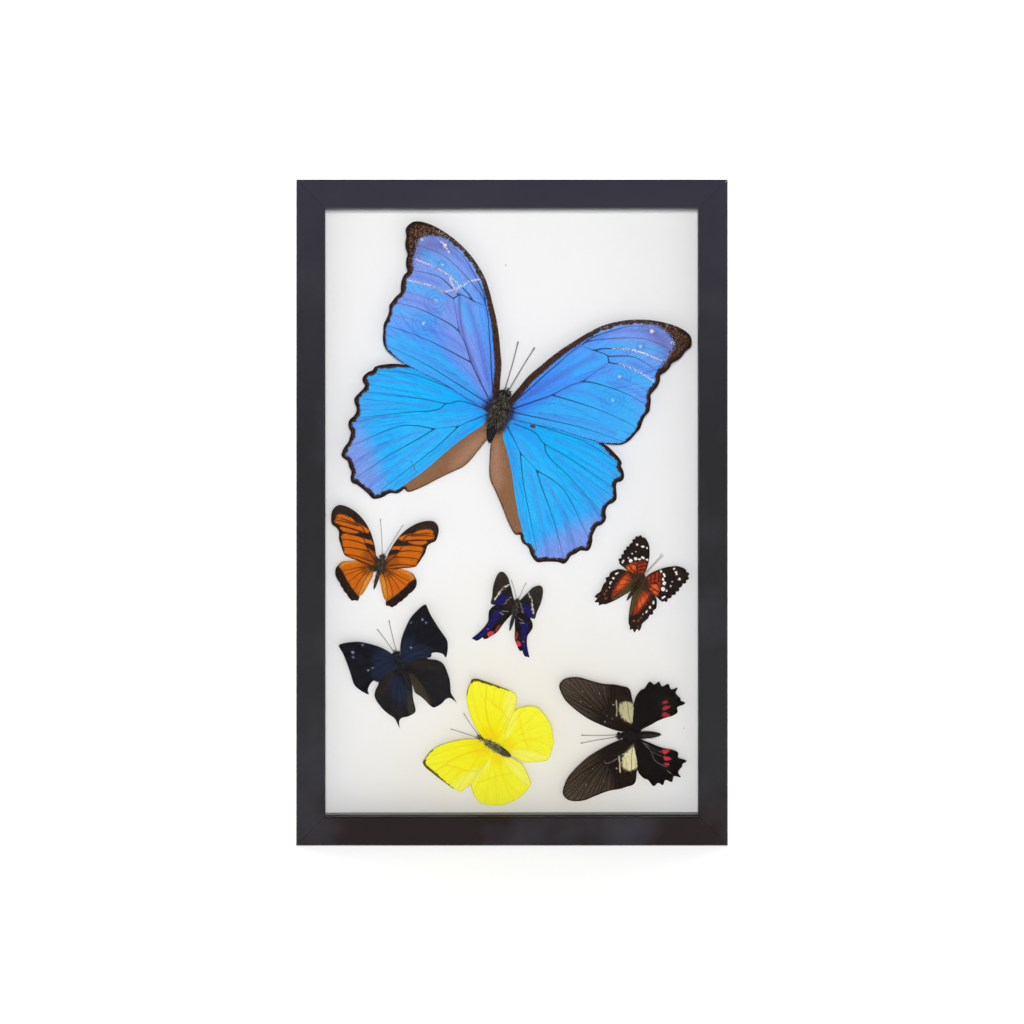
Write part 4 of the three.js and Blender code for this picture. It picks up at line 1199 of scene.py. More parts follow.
def wings_mesh(name, spec):
    """All four wings of a butterfly as thin closed sheets in one mesh, placed on the card."""
    marks = [paint[0] for paint in spec["paints"]]
    values = {key: [] for key in [*marks, "hindwing", "reach", "ray"]}
    corners, faces, total = [], [], 0
    for side, setting_name in ((1, "right"), (-1, "left")):
        for kind, lower, hind in (("hind", WING_STEP, 1), ("fore", 0, 0)):
            wing = spec[kind]
            at, triangles, margin, setting, shift = wing_flat(wing, side, kind, spec["thorax"], spec["step"])
            count = len(at)
            edge, share = nearest(at, margin)
            facts = dict(edge=edge, share=share)
            vein = wing["veins"](facts, at)
            extra = wing.get("extra", {}).get(setting_name, {})
            for mark in marks:
                drawn = [shape(facts, at) for shape in wing["marks"].get(mark, []) + extra.get(mark, [])]
                depth = vein if mark == "veins" else np.max([np.full(count, -float(FAR)), *drawn], axis=0)
                values[mark] += [np.clip(depth, -FAR, FAR)] * 2
            away = np.hypot(*at.T)
            ray = [np.arctan2(at[:, 0], at[:, 1]) * np.maximum(away.max(), 1), away, 0 * away]
            values["ray"] += [np.stack(ray, 1)] * 2
            values["reach"] += [away / away.max()] * 2
            values["hindwing"] += [np.full(count, hind, float)] * 2

            set_at = at @ setting + shift
            beside = np.minimum(vein, 0)
            height = spec["wing_at"] - lower + spec["rise"] * set_at[:, 0] + spec["thick"]
            height += spec["pleat"] * (1 - np.exp(beside / FOLD_WIDE))
            height += VEIN_HIGH * np.exp(-((beside / VEIN_WIDE) ** 2))
            height += spec["pleat"] * 0.7 * soft_wave(set_at, away.max() / 3, WAVE_SEED + hind)
            top = np.column_stack([side * set_at[:, 0], set_at[:, 1], height])
            corners += [top, top - (0, 0, spec["thick"])]
            triangles = triangles[:, ::side]
            pairs = np.vstack([triangles[:, [0, 1]], triangles[:, [1, 2]], triangles[:, [2, 0]]])
            keys = {tuple(pair) for pair in pairs.tolist()}
            rim = [(a, b) for a, b in keys if (b, a) not in keys]
            faces += (triangles + total).tolist()
            faces += (triangles[:, ::-1] + total + count).tolist()
            faces += [(b + total, a + total, a + total + count, b + total + count) for a, b in rim]
            total += 2 * count
    mesh = smooth_mesh(name, on_card(np.vstack(corners), spec), faces, sharp=50)
    rays = np.vstack(values.pop("ray"))
    for key, rows in values.items():
        store(mesh, key, np.concatenate(rows))
    store(mesh, "ray", rays, "FLOAT_VECTOR", "vector")
    return mesh


def on_card(points, spec):
    """Points of a butterfly's own frame, in mm, as places in the display, in metres."""
    turn = -math.radians(spec["heading"])
    x = points[:, 0] * math.cos(turn) - points[:, 1] * math.sin(turn) + spec["at"][0]
    z = points[:, 0] * math.sin(turn) + points[:, 1] * math.cos(turn) + spec["at"][1]
    return np.column_stack([x * MM, REST_Y - points[:, 2] * MM, z * MM])


# ---------- wing material ----------

GRAIN = 0.45 * MM  # real scales are 0.1 mm; drawn this coarse so that their powdery look shows
SPECK = GRAIN / 0.75
STREAK = (0.4, 5)  # width and length of the streaks that run out from the body, in mm
DRIFT = (0.75, 0.035, 1)  # how often the tint changes, per mm round the body and out from it
POWDER = 0.3  # how much the streaks and scales lighten and darken a wing, unless it says


def scaled_wing(name, spec):
    """Butterfly wing, a membrane covered in overlapping scales: matt, powdery and streaked
    outwards, with markings whose edges are ragged by a scale or two."""
    material, tree, shader = new_material(name, Specular_IOR_Level=spec.get("sheen", 0.15))
    place = add(tree, "ShaderNodeTexCoord").outputs["Object"]
    ray = add(tree, "ShaderNodeAttribute", attribute_name="ray").outputs["Vector"]
    stretch = add(tree, "ShaderNodeMapping", {"Vector": ray, "Scale": (1 / STREAK[0], 1 / STREAK[1], 1)})
    streak, grain, speck = [
        add(tree, "ShaderNodeTexNoise", {"Vector": where, "Scale": scale, "Detail": detail})
        for where, scale, detail in ((stretch, 1.0, 3.0), (place, 1 / GRAIN, 2.0), (place, 1 / SPECK, 2.0))
    ]
    jitter = add(tree, "ShaderNodeMath", {0: grain, 1: 0.5}, operation="SUBTRACT")
    reach, hind = [
        add(tree, "ShaderNodeAttribute", attribute_name=fact).outputs["Fac"] for fact in ("reach", "hindwing")
    ]
    fore_ground, hind_ground = [
        add(tree, "ShaderNodeValToRGB", {"Fac": reach}, stops=spec[kind]["ground"])
        for kind in ("fore", "hind")
    ]
    colour = add(tree, "ShaderNodeMix", {0: hind, 6: fore_ground, 7: hind_ground}, data_type="RGBA")
    if "tints" in spec:
        # Structural colour shifts from streak to streak, as the scales tilt.
        drifted = add(tree, "ShaderNodeMapping", {"Vector": ray, "Scale": DRIFT})
        drift = add(tree, "ShaderNodeTexNoise", {"Vector": drifted, "Scale": 1.0, "Detail": 3.0})
        for code, low, high in zip(spec["tints"], (0.52, 0.48), (0.3, 0.7)):
            reached = {"Value": drift, "From Min": low, "From Max": high, "To Max": 0.6}
            share = add(tree, "ShaderNodeMapRange", reached)
            colour = add(tree, "ShaderNodeMix", {0: share, 6: colour, 7: linear(code)}, data_type="RGBA")

    for mark, code, soft, ragged, strength, *specks in spec["paints"]:
        depth = add(tree, "ShaderNodeAttribute", attribute_name=mark).outputs["Fac"]
        frayed = add(tree, "ShaderNodeMath", {0: jitter, 1: ragged * 2, 2: depth}, operation="MULTIPLY_ADD")
        reached = {"Value": frayed, "From Min": -soft / 2, "From Max": soft / 2, "To Max": strength}
        cover = add(tree, "ShaderNodeMapRange", reached, interpolation_type="SMOOTHSTEP")
        paint = linear(code)
        if specks:
            speck_code, share = specks
            edge = 0.5 + (0.5 - share) * 0.6
            reached = {"Value": speck, "From Min": edge, "From Max": edge + 0.06}
            dotted = add(tree, "ShaderNodeMapRange", reached)
            paint = add(tree, "ShaderNodeMix", {0: dotted, 6: paint, 7: linear(speck_code)}, data_type="RGBA")
        colour = add(tree, "ShaderNodeMix", {0: cover, 6: colour, 7: paint}, data_type="RGBA")

    # Streaks and scales lighten and darken what is painted.
    both = add(tree, "ShaderNodeMath", {0: streak, 1: grain}, operation="ADD")
    spread = spec.get("powder", POWDER)
    limits = {"From Min": 0.7, "From Max": 1.3, "To Min": 1 - spread, "To Max": 1 + spread}
    tone = add(tree, "ShaderNodeMapRange", {"Value": both, **limits})
    colour = add(tree, "ShaderNodeVectorMath", {0: colour, "Scale": tone}, operation="SCALE")
    bump = add(tree, "ShaderNodeBump", {"Height": grain, "Strength": 0.25, "Distance": 0.05 * MM})
    rough = add(tree, "ShaderNodeMapRange", {"Value": streak, "To Min": 0.55, "To Max": 0.85})
    feed(tree, shader, {"Base Color": colour, "Normal": bump, "Roughness": rough})
    return material


def make_wings(name, spec):
    finish = scaled_wing(f"{name}_scales", spec)
    dressed(new_piece(f"{name}_wings", wings_mesh(f"{name}_wings", spec), finish), name)


# ---------- bodies ----------

HAIR_SEED = 11
SEGMENTS = 8  # rings of the abdomen
BODY_SIDES, LIMB_SIDES = 22, 8  # sides of the round parts and of the thin ones
ABDOMEN_POINTS, FEELER_POINTS, LEG_POINTS = 41, 40, 12
PALP_RADII = np.array([0.14, 0.2, 0.2, 0.18, 0.15, 0.1, 0.04])  # along a palp, in head widths
SHELL, HORN, COMPOUND = range(3)  # the finishes of a body's parts


def tube(path, radii, sides, flat=1.0):
    """A closed tube along a path, with a radius at each of its points, `flat` times as high."""
    path, radii = np.array(path, float), np.broadcast_to(radii, len(path))[:, None, None]
    along = np.gradient(path, axis=0)
    along /= np.linalg.norm(along, axis=1)[:, None]
    across = np.cross(along, (0, 0, 1))
    across /= np.linalg.norm(across, axis=1)[:, None]
    up = np.cross(across, along) * flat
    turns = np.arange(sides)[None, :, None] * 2 * math.pi / sides
    points = path[:, None] + across[:, None] * (np.cos(turns) * radii) + up[:, None] * (np.sin(turns) * radii)
    faces = [
        (a * sides + (i + 1) % sides, a * sides + i, (a + 1) * sides + i, (a + 1) * sides + (i + 1) % sides)
        for a in range(len(path) - 1)
        for i in range(sides)
    ]
    last = (len(path) - 1) * sides
    return points.reshape(-1, 3), [*faces, tuple(range(sides)), tuple(reversed(range(last, last + sides)))]


def ball(centre, radii, sides=BODY_SIDES, rings=13):
    """A ball stretched to three radii, lying along y."""
    turns = np.linspace(0.06, math.pi - 0.06, rings)
    path = [(centre[0], centre[1] - radii[1] * math.cos(t), centre[2]) for t in turns]
    return tube(path, radii[0] * np.sin(turns), sides, radii[2] / radii[0])


def curve(count, *points):
    """A smooth curve in space through three points."""
    start, through, end = np.array(points, float)
    pull = (4 * through - start - end) / 2
    t = np.linspace(0, 1, count)[:, None]
    return (1 - t) ** 2 * start + 2 * t * (1 - t) * pull + t**2 * end


def body_parts(spec):
    """The parts of a body: shape, how hairy its corners are and its finish."""
    wide, long, high = spec["thorax"]
    head_at, head = spec["head"]
    tip, radius, lean = spec["abdomen"]
    middle = high / 2
    thin = 0.032 * wide + 0.03
    shares = np.linspace(0, 1, ABDOMEN_POINTS)
    start = -long * 0.22
    sag = spec["wing_at"] + radius * 0.15 - radius * 0.5 * shares**2
    path = np.column_stack([lean * np.sin(math.pi * shares), start + (tip - start) * shares, sag])
    swell = np.sqrt(np.sin(math.pi * np.clip(0.16 + 0.84 * shares, 0, 0.995)))
    swell *= 1 - 0.07 * abs(np.cos(math.pi * SEGMENTS * shares)) ** 6
    abdomen = tube(path, radius * swell, BODY_SIDES, 0.92)
    parts = [
        (ball((0, 0, middle), (wide / 2, long / 2, middle)), 1.0, SHELL),
        (ball((0, long * 0.42, middle), (wide * 0.3, long * 0.16, middle * 0.75)), 1.0, SHELL),
        (ball((0, head_at, middle), (head, head * 0.85, head * 0.9)), 0.6, SHELL),
        (abdomen, np.clip(0.9 - 2.4 * shares, 0.06, 1), SHELL),
    ]
    for side in (1, -1):
        eye = head * 0.55
        eye_at = (side * head * 0.74, head_at + eye * 0.3, middle)
        parts.append((ball(eye_at, (eye, eye, eye), 14, 9), 0.0, COMPOUND))
        palp = curve(
            len(PALP_RADII),
            (side * head * 0.3, head_at + head * 0.5, middle * 0.8),
            (side * head * 0.32, head_at + head * 1.15, middle * 0.9),
            (side * head * 0.26, head_at + head * 1.3, middle * 1.3),
        )
        parts.append((tube(palp, head * PALP_RADII, LIMB_SIDES), 0.4, SHELL))
        for i in range(spec["legs"]):
            y = long / 2 * (0.5 - 0.45 * i)
            leg = curve(
                LEG_POINTS,
                (side * wide * 0.2, y, middle * 0.55),
                (side * wide * 0.78, y + long * 0.07, middle * 0.5),
                (side * wide * 0.55, y - long * 0.45, thin),
            )
            parts.append((tube(leg, thin * np.linspace(1.2, 0.5, LEG_POINTS), LIMB_SIDES), 0.0, SHELL))
    for side, (x, y) in zip((-1, 1), spec["antennae"]):
        root = (side * head * 0.35, head_at + head * 0.4, middle + head * 0.3)
        end = (x, y, spec["wing_at"] + 0.6)
        bow = ((root[0] + x) / 2 - side * 0.2, (root[1] + y) / 2, (root[2] + end[2]) / 2 + 0.3)
        club = 1 + 0.5 * np.exp(-(((np.linspace(0, 1, FEELER_POINTS) - 0.965) / 0.035) ** 2))
        feeler = curve(FEELER_POINTS, root, bow, end)
        parts.append((tube(feeler, 0.8 * thin * club, LIMB_SIDES), 0.0, HORN))
    return parts


def body_mesh(name, spec):
    corners, faces, hairy, finishes, total = [], [], [], [], 0
    for (points, some), hair, finish in body_parts(spec):
        corners.append(points)
        faces += [tuple(total + i for i in face) for face in some]
        hair = np.repeat(hair, len(points) // np.size(hair))
        hairy.append(hair * np.clip(3 * points[:, 2] / spec["thorax"][2] - 0.9, 0, 1))
        finishes += [finish] * len(some)
        total += len(points)
    mesh = smooth_mesh(name, on_card(np.vstack(corners), spec), faces)
    store(mesh, "hairy", np.concatenate(hairy))
    mesh.polygons.foreach_set("material_index", finishes)
    return mesh


def fur_tree():
    """Hairs that grow out of a skin and lean back along it, each a fine closed spike."""
    tree = bpy.data.node_groups.new("fur", "GeometryNodeTree")
    for label, kind in (
        ("Skin", "Geometry"), ("Hairs per area", "Float"), ("Length", "Float"), ("Thickness", "Float"),
        ("Lean", "Vector"), ("Hair", "Material"),
    ):
        tree.interface.new_socket(label, in_out="INPUT", socket_type=f"NodeSocket{kind}")
    tree.interface.new_socket("Fur", in_out="OUTPUT", socket_type="NodeSocketGeometry")
    given = add(tree, "NodeGroupInput").outputs
    stray, size, tone = [
        add(tree, "FunctionNodeRandomValue", {**limits, "Seed": HAIR_SEED + i}, data_type=kind)
        for i, (kind, limits) in enumerate((
            ("FLOAT_VECTOR", {"Min": (-0.55, -0.55, -0.55), "Max": (0.55, 0.55, 0.55)}),
            ("FLOAT", {2: 0.55, 3: 1.15}),
            ("FLOAT", {2: 0.0, 3: 1.0}),
        ), 1)
    ]
    hairy = add(tree, "GeometryNodeInputNamedAttribute", {"Name": "hairy"}, data_type="FLOAT")
    dense = add(tree, "ShaderNodeMath", {0: hairy, 1: given["Hairs per area"]}, operation="MULTIPLY")
    sown = {"Mesh": given["Skin"], "Density": dense, "Seed": HAIR_SEED}
    roots = add(tree, "GeometryNodeDistributePointsOnFaces", sown, distribute_method="RANDOM")
    back = add(tree, "ShaderNodeVectorMath", {0: roots.outputs["Normal"], 1: given["Lean"]}, operation="ADD")
    aim = add(tree, "ShaderNodeVectorMath", {0: back, 1: stray}, operation="ADD")
    turn = add(tree, "FunctionNodeAlignRotationToVector", {"Vector": aim}, axis="Z")
    form = {"Vertices": 3, "Radius Top": 0.0, "Radius Bottom": given["Thickness"], "Depth": given["Length"]}
    spike = add(tree, "GeometryNodeMeshCone", form, fill_type="NGON")
    planted = {"Points": roots, "Instance": spike, "Rotation": turn, "Scale": size}
    grown = add(tree, "GeometryNodeInstanceOnPoints", planted)
    toned = add(
        tree, "GeometryNodeStoreNamedAttribute", {"Geometry": grown, "Name": "tone", "Value": tone},
        data_type="FLOAT", domain="INSTANCE",
    )
    real = add(tree, "GeometryNodeRealizeInstances", {"Geometry": toned})
    coloured = add(tree, "GeometryNodeSetMaterial", {"Geometry": real, "Material": given["Hair"]})
    add(tree, "NodeGroupOutput", {"Fur": coloured})
    return tree


FUR = fur_tree()


def grown_fur(name, skin, spec, hair):
    """The fur of a body as its own plain mesh."""
    grower = new_piece(f"{name}_grower", skin.copy())
    fur = grower.modifiers.new("fur", "NODES")
    fur.node_group = FUR
    wide = spec["thorax"][0]
    turn = math.radians(spec["heading"])
    values = {
        "Hairs per area": 3.2e7 / wide,
        "Length": (0.8 + 0.19 * wide) * MM,
        "Thickness": (0.07 + 0.011 * wide) * MM,
        "Lean": 0.9 * Vector((-math.sin(turn), 0, -math.cos(turn))),
        "Hair": hair,
    }
    for socket in FUR.interface.items_tree:
        if socket.name in values:
            fur[socket.identifier] = values[socket.name]
    mesh = plain_mesh(grower, f"{name}_fur")
    bpy.data.objects.remove(grower)
    mesh.materials.clear()
    mesh.materials.append(hair)
    mesh.polygons.foreach_set("material_index", [0] * len(mesh.polygons))
    # Hairs that reach the glass or the card are pressed flat by it.
    tips = np.empty(len(mesh.vertices) * 3)
    mesh.vertices.foreach_get("co", tips)
    tips[1::3] = np.clip(tips[1::3], GLASS_BACK + REST_GAP, REST_Y)
    mesh.vertices.foreach_set("co", tips)
    return mesh


def hair_finish(name, dark, pale):
    """Insect hair: stiff and dry, mostly dark with paler hairs among it."""
    material, tree, shader = new_material(name, Roughness=0.6, Specular_IOR_Level=0.2)
    tone = add(tree, "ShaderNodeAttribute", attribute_name="tone").outputs["Fac"]
    share = add(tree, "ShaderNodeMath", {0: tone, 1: 2.0}, operation="POWER")
    colour = add(tree, "ShaderNodeMix", {0: share, 6: linear(dark), 7: linear(pale)}, data_type="RGBA")
    feed(tree, shader, {"Base Color": colour})
    return material


def skin_finish(name, code):
    """Chitin under thin down: a dark dry shell with a fine unevenness that breaks its shine."""
    material, tree, shader = new_material(name, Roughness=0.55, Specular_IOR_Level=0.25)
    place = add(tree, "ShaderNodeTexCoord").outputs["Object"]
    grain = add(tree, "ShaderNodeTexNoise", {"Vector": place, "Scale": 1 / (0.5 * MM), "Detail": 3.0})
    colour = add(tree, "ShaderNodeMix", {0: grain, 6: linear(code), 7: linear(code, 1.9)}, data_type="RGBA")
    bump = add(tree, "ShaderNodeBump", {"Height": grain, "Strength": 0.5, "Distance": 0.1 * MM})
    feed(tree, shader, {"Base Color": colour, "Normal": bump})
    return material


# Dried feelers are horn: grey-brown where the light catches them.
DRY_HORN = even("dry_horn", "#86817D", 0.5)
# Compound eyes are smooth and dark, so they show one soft highlight.
COMPOUND_EYE = even("compound_eye", "#2A1B14", 0.22)


def make_body(name, spec):
    skin = body_mesh(f"{name}_body", spec)
    fur = grown_fur(name, skin, spec, hair_finish(f"{name}_hair", *spec["fur"]))
    finishes = (skin_finish(f"{name}_skin", spec["skin"]), DRY_HORN, COMPOUND_EYE)
    dressed(new_piece(f"{name}_body", skin, *finishes), name)
    dressed(new_piece(f"{name}_fur", fur), name)


for name, spec in BUTTERFLIES.items():
    make_wings(name, spec)
    make_body(name, spec)

# ---------- frame, glass, card and back ----------

RAIL = 12.3  # face width of a rail, in mm, as are the sizes below
LIP = 3.3  # how far a rail's front reaches over the glass, and how thick it is there
LIP_THICK = 2.2
MITRE_GAP = 0.1
GAP = 0.3  # between the rails and what lies in them
SPACER_DEEP = 7.2
SPACER_FRONT = 4.8  # how far the spacers start behind the front face, just behind the glass
RAIL_STEP = 1.5  # length of the short pieces that a rail's slight unevenness is made with
UNEVEN = (9, 0.02)  # how many places a rail's front wanders at, and by how much
KNOCK = dict(beside=4, inward=3, long=9, wide=3, deep=0.18)  # a dent in the top rail's front
WIDE, DEEP, TALL = [(high - low) / MM for low, high in zip(FRAME_LOW, FRAME_HIGH)]


def rounded(*corners):
    """A closed section whose corners (across, depth, radius) are rounded."""
    points = []
    for i, (x, y, radius) in enumerate(corners):
        here = np.array((x, y))
        before, after = (np.array(corners[k % len(corners)][:2]) - here for k in (i - 1, i + 1))
        start, end = [way / np.linalg.norm(way) * radius for way in (before, after)]
        points += [here + start * (1 - t) ** 2 + end * t**2 for t in (0, 0.15, 0.38, 0.62, 0.85, 1)]
    return np.array(points)


# Each section is distance in from the frame's outer edge, depth from its front, corner radius.
RAIL_SECTION = rounded(
    (0, 0, 0.7), (0, DEEP, 0.5), (RAIL - LIP, DEEP, 0.3), (RAIL - LIP, LIP_THICK, 0.1),
    (RAIL, LIP_THICK, 0.2), (RAIL, 0, 0.45),
)
SPACER_SECTION = rounded(
    (RAIL - LIP + GAP, SPACER_FRONT, 0.1), (RAIL - LIP + GAP, SPACER_FRONT + SPACER_DEEP, 0.1),
    (RAIL, SPACER_FRONT + SPACER_DEEP, 0.25), (RAIL, SPACER_FRONT, 0.25),
)


def strip_mesh(name, side, section):
    """One side of the frame: its section run from mitre to mitre, slightly uneven by hand."""
    length = TALL if side in ("left", "right") else WIDE
    count = round(length / RAIL_STEP)
    places, amount = UNEVEN
    wander = np.random.default_rng(len(side)).normal(0, amount, places)
    share = (np.arange(count + 1) / count)[:, None]
    inset = section[:, 0] + MITRE_GAP / 2
    along = inset + (length - 2 * inset) * share
    inward = np.broadcast_to(section[:, 0], along.shape)
    front = section[:, 1] < 1
    depth = section[:, 1] + np.interp(share, np.linspace(0, 1, places), wander) * front
    if side == "top":
        beside = (along - length / 2 - KNOCK["beside"]) / KNOCK["long"]
        across = (inward - KNOCK["inward"]) / KNOCK["wide"]
        depth = depth + KNOCK["deep"] * np.exp(-(beside**2) - across**2) * front
    x, z = {
        "bottom": (along - WIDE / 2, inward),
        "top": (WIDE / 2 - along, TALL - inward),
        "left": (inward - WIDE / 2, TALL - along),
        "right": (WIDE / 2 - inward, along),
    }[side]
    points = np.stack([x, FRAME_LOW.y / MM + depth, z], -1).reshape(-1, 3) * MM
    n = len(section)
    faces = [
        (a * n + i, a * n + (i + 1) % n, (a + 1) * n + (i + 1) % n, (a + 1) * n + i)
        for a in range(count)
        for i in range(n)
    ]
    last = count * n
    faces += [tuple(reversed(range(n))), tuple(range(last, last + n))]
    return smooth_mesh(name, points, faces, sharp=40)


def softened(name, width, finish):
    """A plain part again, with its hard edges broken."""
    source = new_piece(f"{name}_source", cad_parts[name].data.copy())
    joined = bmesh.new()
    joined.from_mesh(source.data)
    bmesh.ops.remove_doubles(joined, verts=joined.verts, dist=0.001 * MM)
    joined.to_mesh(source.data)
    joined.free()
    source.data.polygons.foreach_set("use_smooth", [True] * len(source.data.polygons))
    bevel = source.modifiers.new("edges", "BEVEL")
    bevel.width, bevel.segments, bevel.angle_limit = width * MM, 3, math.radians(35)
    bevel.harden_normals = True
    mesh = plain_mesh(source, f"{name}_made")
    bpy.data.objects.remove(source)
    mesh.materials.clear()
    return dressed(new_piece(f"{name}_made", mesh, finish), name)


# Painted light and shade on the rails, from the bottom up: darker and browner at the bottom, lighter and
# bluer at the top, as lit from above.
PAINTED_RAIL_LIGHT = ((0, "#1F1314"), (0.045, "#1E1314"), (0.1, "#232325"), (0.6, "#242427"), (1, "#33313B"))
RUBBED_AND_LIT_EDGE = (0.2, 0.8)  # how near the outer edge the paler edge is at its full and starts to be, in mm: rubbed paint and a painted highlight


def painted_wood():
    """Pine moulding sprayed satin black. The grain stands faintly through the paint, dust
    greys it in patches, and the outer edges of the front are painted a little paler, partly as
    rubbed paint and partly as a painted highlight. Its colour is painted lighter and bluer towards
    the top, as light falling from above, and darker and browner towards the bottom, as painted shade."""
    material, tree, shader = new_material("satin_black_painted_pine", Specular_IOR_Level=0.2)
    place = add(tree, "ShaderNodeTexCoord").outputs["Object"]
    cloud = add(tree, "ShaderNodeTexNoise", {"Vector": place, "Scale": 1 / (35 * MM), "Detail": 3.0})
    grain = add(tree, "ShaderNodeTexNoise", {"Vector": place, "Scale": 1 / (1.2 * MM), "Detail": 4.0})
    across, depth, up = add(tree, "ShaderNodeSeparateXYZ", {"Vector": place}).outputs
    from_middle = add(tree, "ShaderNodeMath", {0: up, 1: TALL / 2 * MM}, operation="SUBTRACT")
    beyond = []
    for value, half in ((across, WIDE / 2), (from_middle, TALL / 2)):
        away = add(tree, "ShaderNodeMath", {0: value}, operation="ABSOLUTE")
        limits = {"From Min": (half - RUBBED_AND_LIT_EDGE[1]) * MM, "From Max": (half - RUBBED_AND_LIT_EDGE[0]) * MM}
        beyond.append(add(tree, "ShaderNodeMapRange", {"Value": away, **limits}))
    edge = add(tree, "ShaderNodeMath", {0: beyond[0], 1: beyond[1]}, operation="MAXIMUM")
    worn = {"Value": grain, "From Min": 0.42, "From Max": 0.6, "To Max": 0.6}
    limits = {"From Min": FRAME_LOW.y + 0.2 * MM, "From Max": FRAME_LOW.y + MM, "To Min": 1, "To Max": 0}
    rubbed = edge
    for limit in (worn, {"Value": depth, **limits}):
        share = add(tree, "ShaderNodeMapRange", limit)
        rubbed = add(tree, "ShaderNodeMath", {0: rubbed, 1: share}, operation="MULTIPLY")
    # Painted light and shade by height: lighter and bluer at the top, darker and browner at the bottom.
    height = add(tree, "ShaderNodeMapRange", {"Value": up, "From Max": TALL * MM})
    colour = add(tree, "ShaderNodeValToRGB", {"Fac": height}, stops=PAINTED_RAIL_LIGHT)
    dust = add(tree, "ShaderNodeMapRange", {"Value": cloud, "From Min": 0.5, "From Max": 0.8})
    # The paler outer edge is rubbed paint and, in part, a painted highlight along the edge.
    for share, code in ((dust, "#36353C"), (rubbed, "#55565A")):
        colour = add(tree, "ShaderNodeMix", {0: share, 6: colour, 7: linear(code)}, data_type="RGBA")
    bump = add(tree, "ShaderNodeBump", {"Height": grain, "Strength": 0.3, "Distance": 0.06 * MM})
    rough = add(tree, "ShaderNodeMapRange", {"Value": cloud, "To Min": 0.34, "To Max": 0.52})
    feed(tree, shader, {"Base Color": colour, "Normal": bump, "Roughness": rough})
    return material


# The strip's greys from the glass to the card, painted light and shade: dark in the lip's shade near
# the glass, a paler band of painted light near the card, and darker in the corner against the card.
STRIP_PAINTED_SHADING = (
    (0, "#3A3B3D"), (0.1, "#5E5F62"), (0.45, "#77787A"), (0.6, "#8E9092"), (0.66, "#6C6D70"),
    (0.9, "#77787B"), (1, "#5A5B5E"),
)


def spacer_strip():
    """Extruded grey plastic strip: dull, with painted light and shade along its depth: painted
    shade near the glass under the lip, a paler band of painted light near the card, and painted
    shade again in the corner against the card."""
    material, tree, shader = new_material("grey_plastic_strip", Roughness=0.45)
    place = add(tree, "ShaderNodeTexCoord").outputs["Object"]
    depth = add(tree, "ShaderNodeSeparateXYZ", {"Vector": place}).outputs["Y"]
    low = FRAME_LOW.y + SPACER_FRONT * MM
    limits = {"From Min": low, "From Max": low + SPACER_DEEP * MM}
    share = add(tree, "ShaderNodeMapRange", {"Value": depth, **limits})
    feed(tree, shader, {"Base Color": add(tree, "ShaderNodeValToRGB", {"Fac": share}, stops=STRIP_PAINTED_SHADING)})
    return material


CREAM_PATCH = ((4, 42), (96, 98))  # middle and reach of the creamier part of the card, across and up
SPECKS = ((-2.2, 248, 0.45), (-79.2, 140.3, 0.4), (73.8, 48.4, 0.35), (-30, 133, 0.3))


def mount_card():
    """White mount card: matt smooth paper, with a faint fibre, coloured creamier in a soft patch
    over its lower part, and a few specks of dust."""
    material, tree, shader = new_material("white_mount_card", Roughness=0.92, Specular_IOR_Level=0.2)
    place = add(tree, "ShaderNodeTexCoord").outputs["Object"]
    (x, z), (wide, high) = CREAM_PATCH
    centred = {"Location": (-x / wide, 0, -z / high), "Scale": (1 / (wide * MM), 0, 1 / (high * MM))}
    local = add(tree, "ShaderNodeMapping", {"Vector": place, **centred})
    away = add(tree, "ShaderNodeVectorMath", {0: local}, operation="LENGTH")
    blotch = add(tree, "ShaderNodeTexNoise", {"Vector": place, "Scale": 1 / (40 * MM), "Detail": 2.0})
    uneven = add(tree, "ShaderNodeMath", {0: blotch, 1: 0.5, 2: away}, operation="MULTIPLY_ADD")
    limits = {"From Min": 0.4, "From Max": 1.2, "To Min": 1.0, "To Max": 0.0}
    creamier = add(tree, "ShaderNodeMapRange", {"Value": uneven, **limits}, interpolation_type="SMOOTHSTEP")
    white, cream = linear("#F5F5F5"), linear("#F2EEE4")
    colour = add(tree, "ShaderNodeMix", {0: creamier, 6: white, 7: cream}, data_type="RGBA")
    for x, z, radius in SPECKS:
        centre = (x * MM, CARD_LOW.y, z * MM)
        gap = add(tree, "ShaderNodeVectorMath", {0: place, 1: centre}, operation="DISTANCE")
        limits = {"From Min": radius * 0.5 * MM, "From Max": radius * MM, "To Min": 0.6, "To Max": 0.0}
        speck = add(tree, "ShaderNodeMapRange", {"Value": gap, **limits})
        colour = add(tree, "ShaderNodeMix", {0: speck, 6: colour, 7: linear("#8A8780")}, data_type="RGBA")
    fibre = add(tree, "ShaderNodeTexNoise", {"Vector": place, "Scale": 1 / (0.6 * MM), "Detail": 3.0})
    bump = add(tree, "ShaderNodeBump", {"Height": fibre, "Strength": 0.12, "Distance": 0.05 * MM})
    feed(tree, shader, {"Base Color": colour, "Normal": bump})
    return material


FIBRES = (400, 1000, 1500)  # fibres per metre: 2.5 mm long across the board, under 1 mm up it


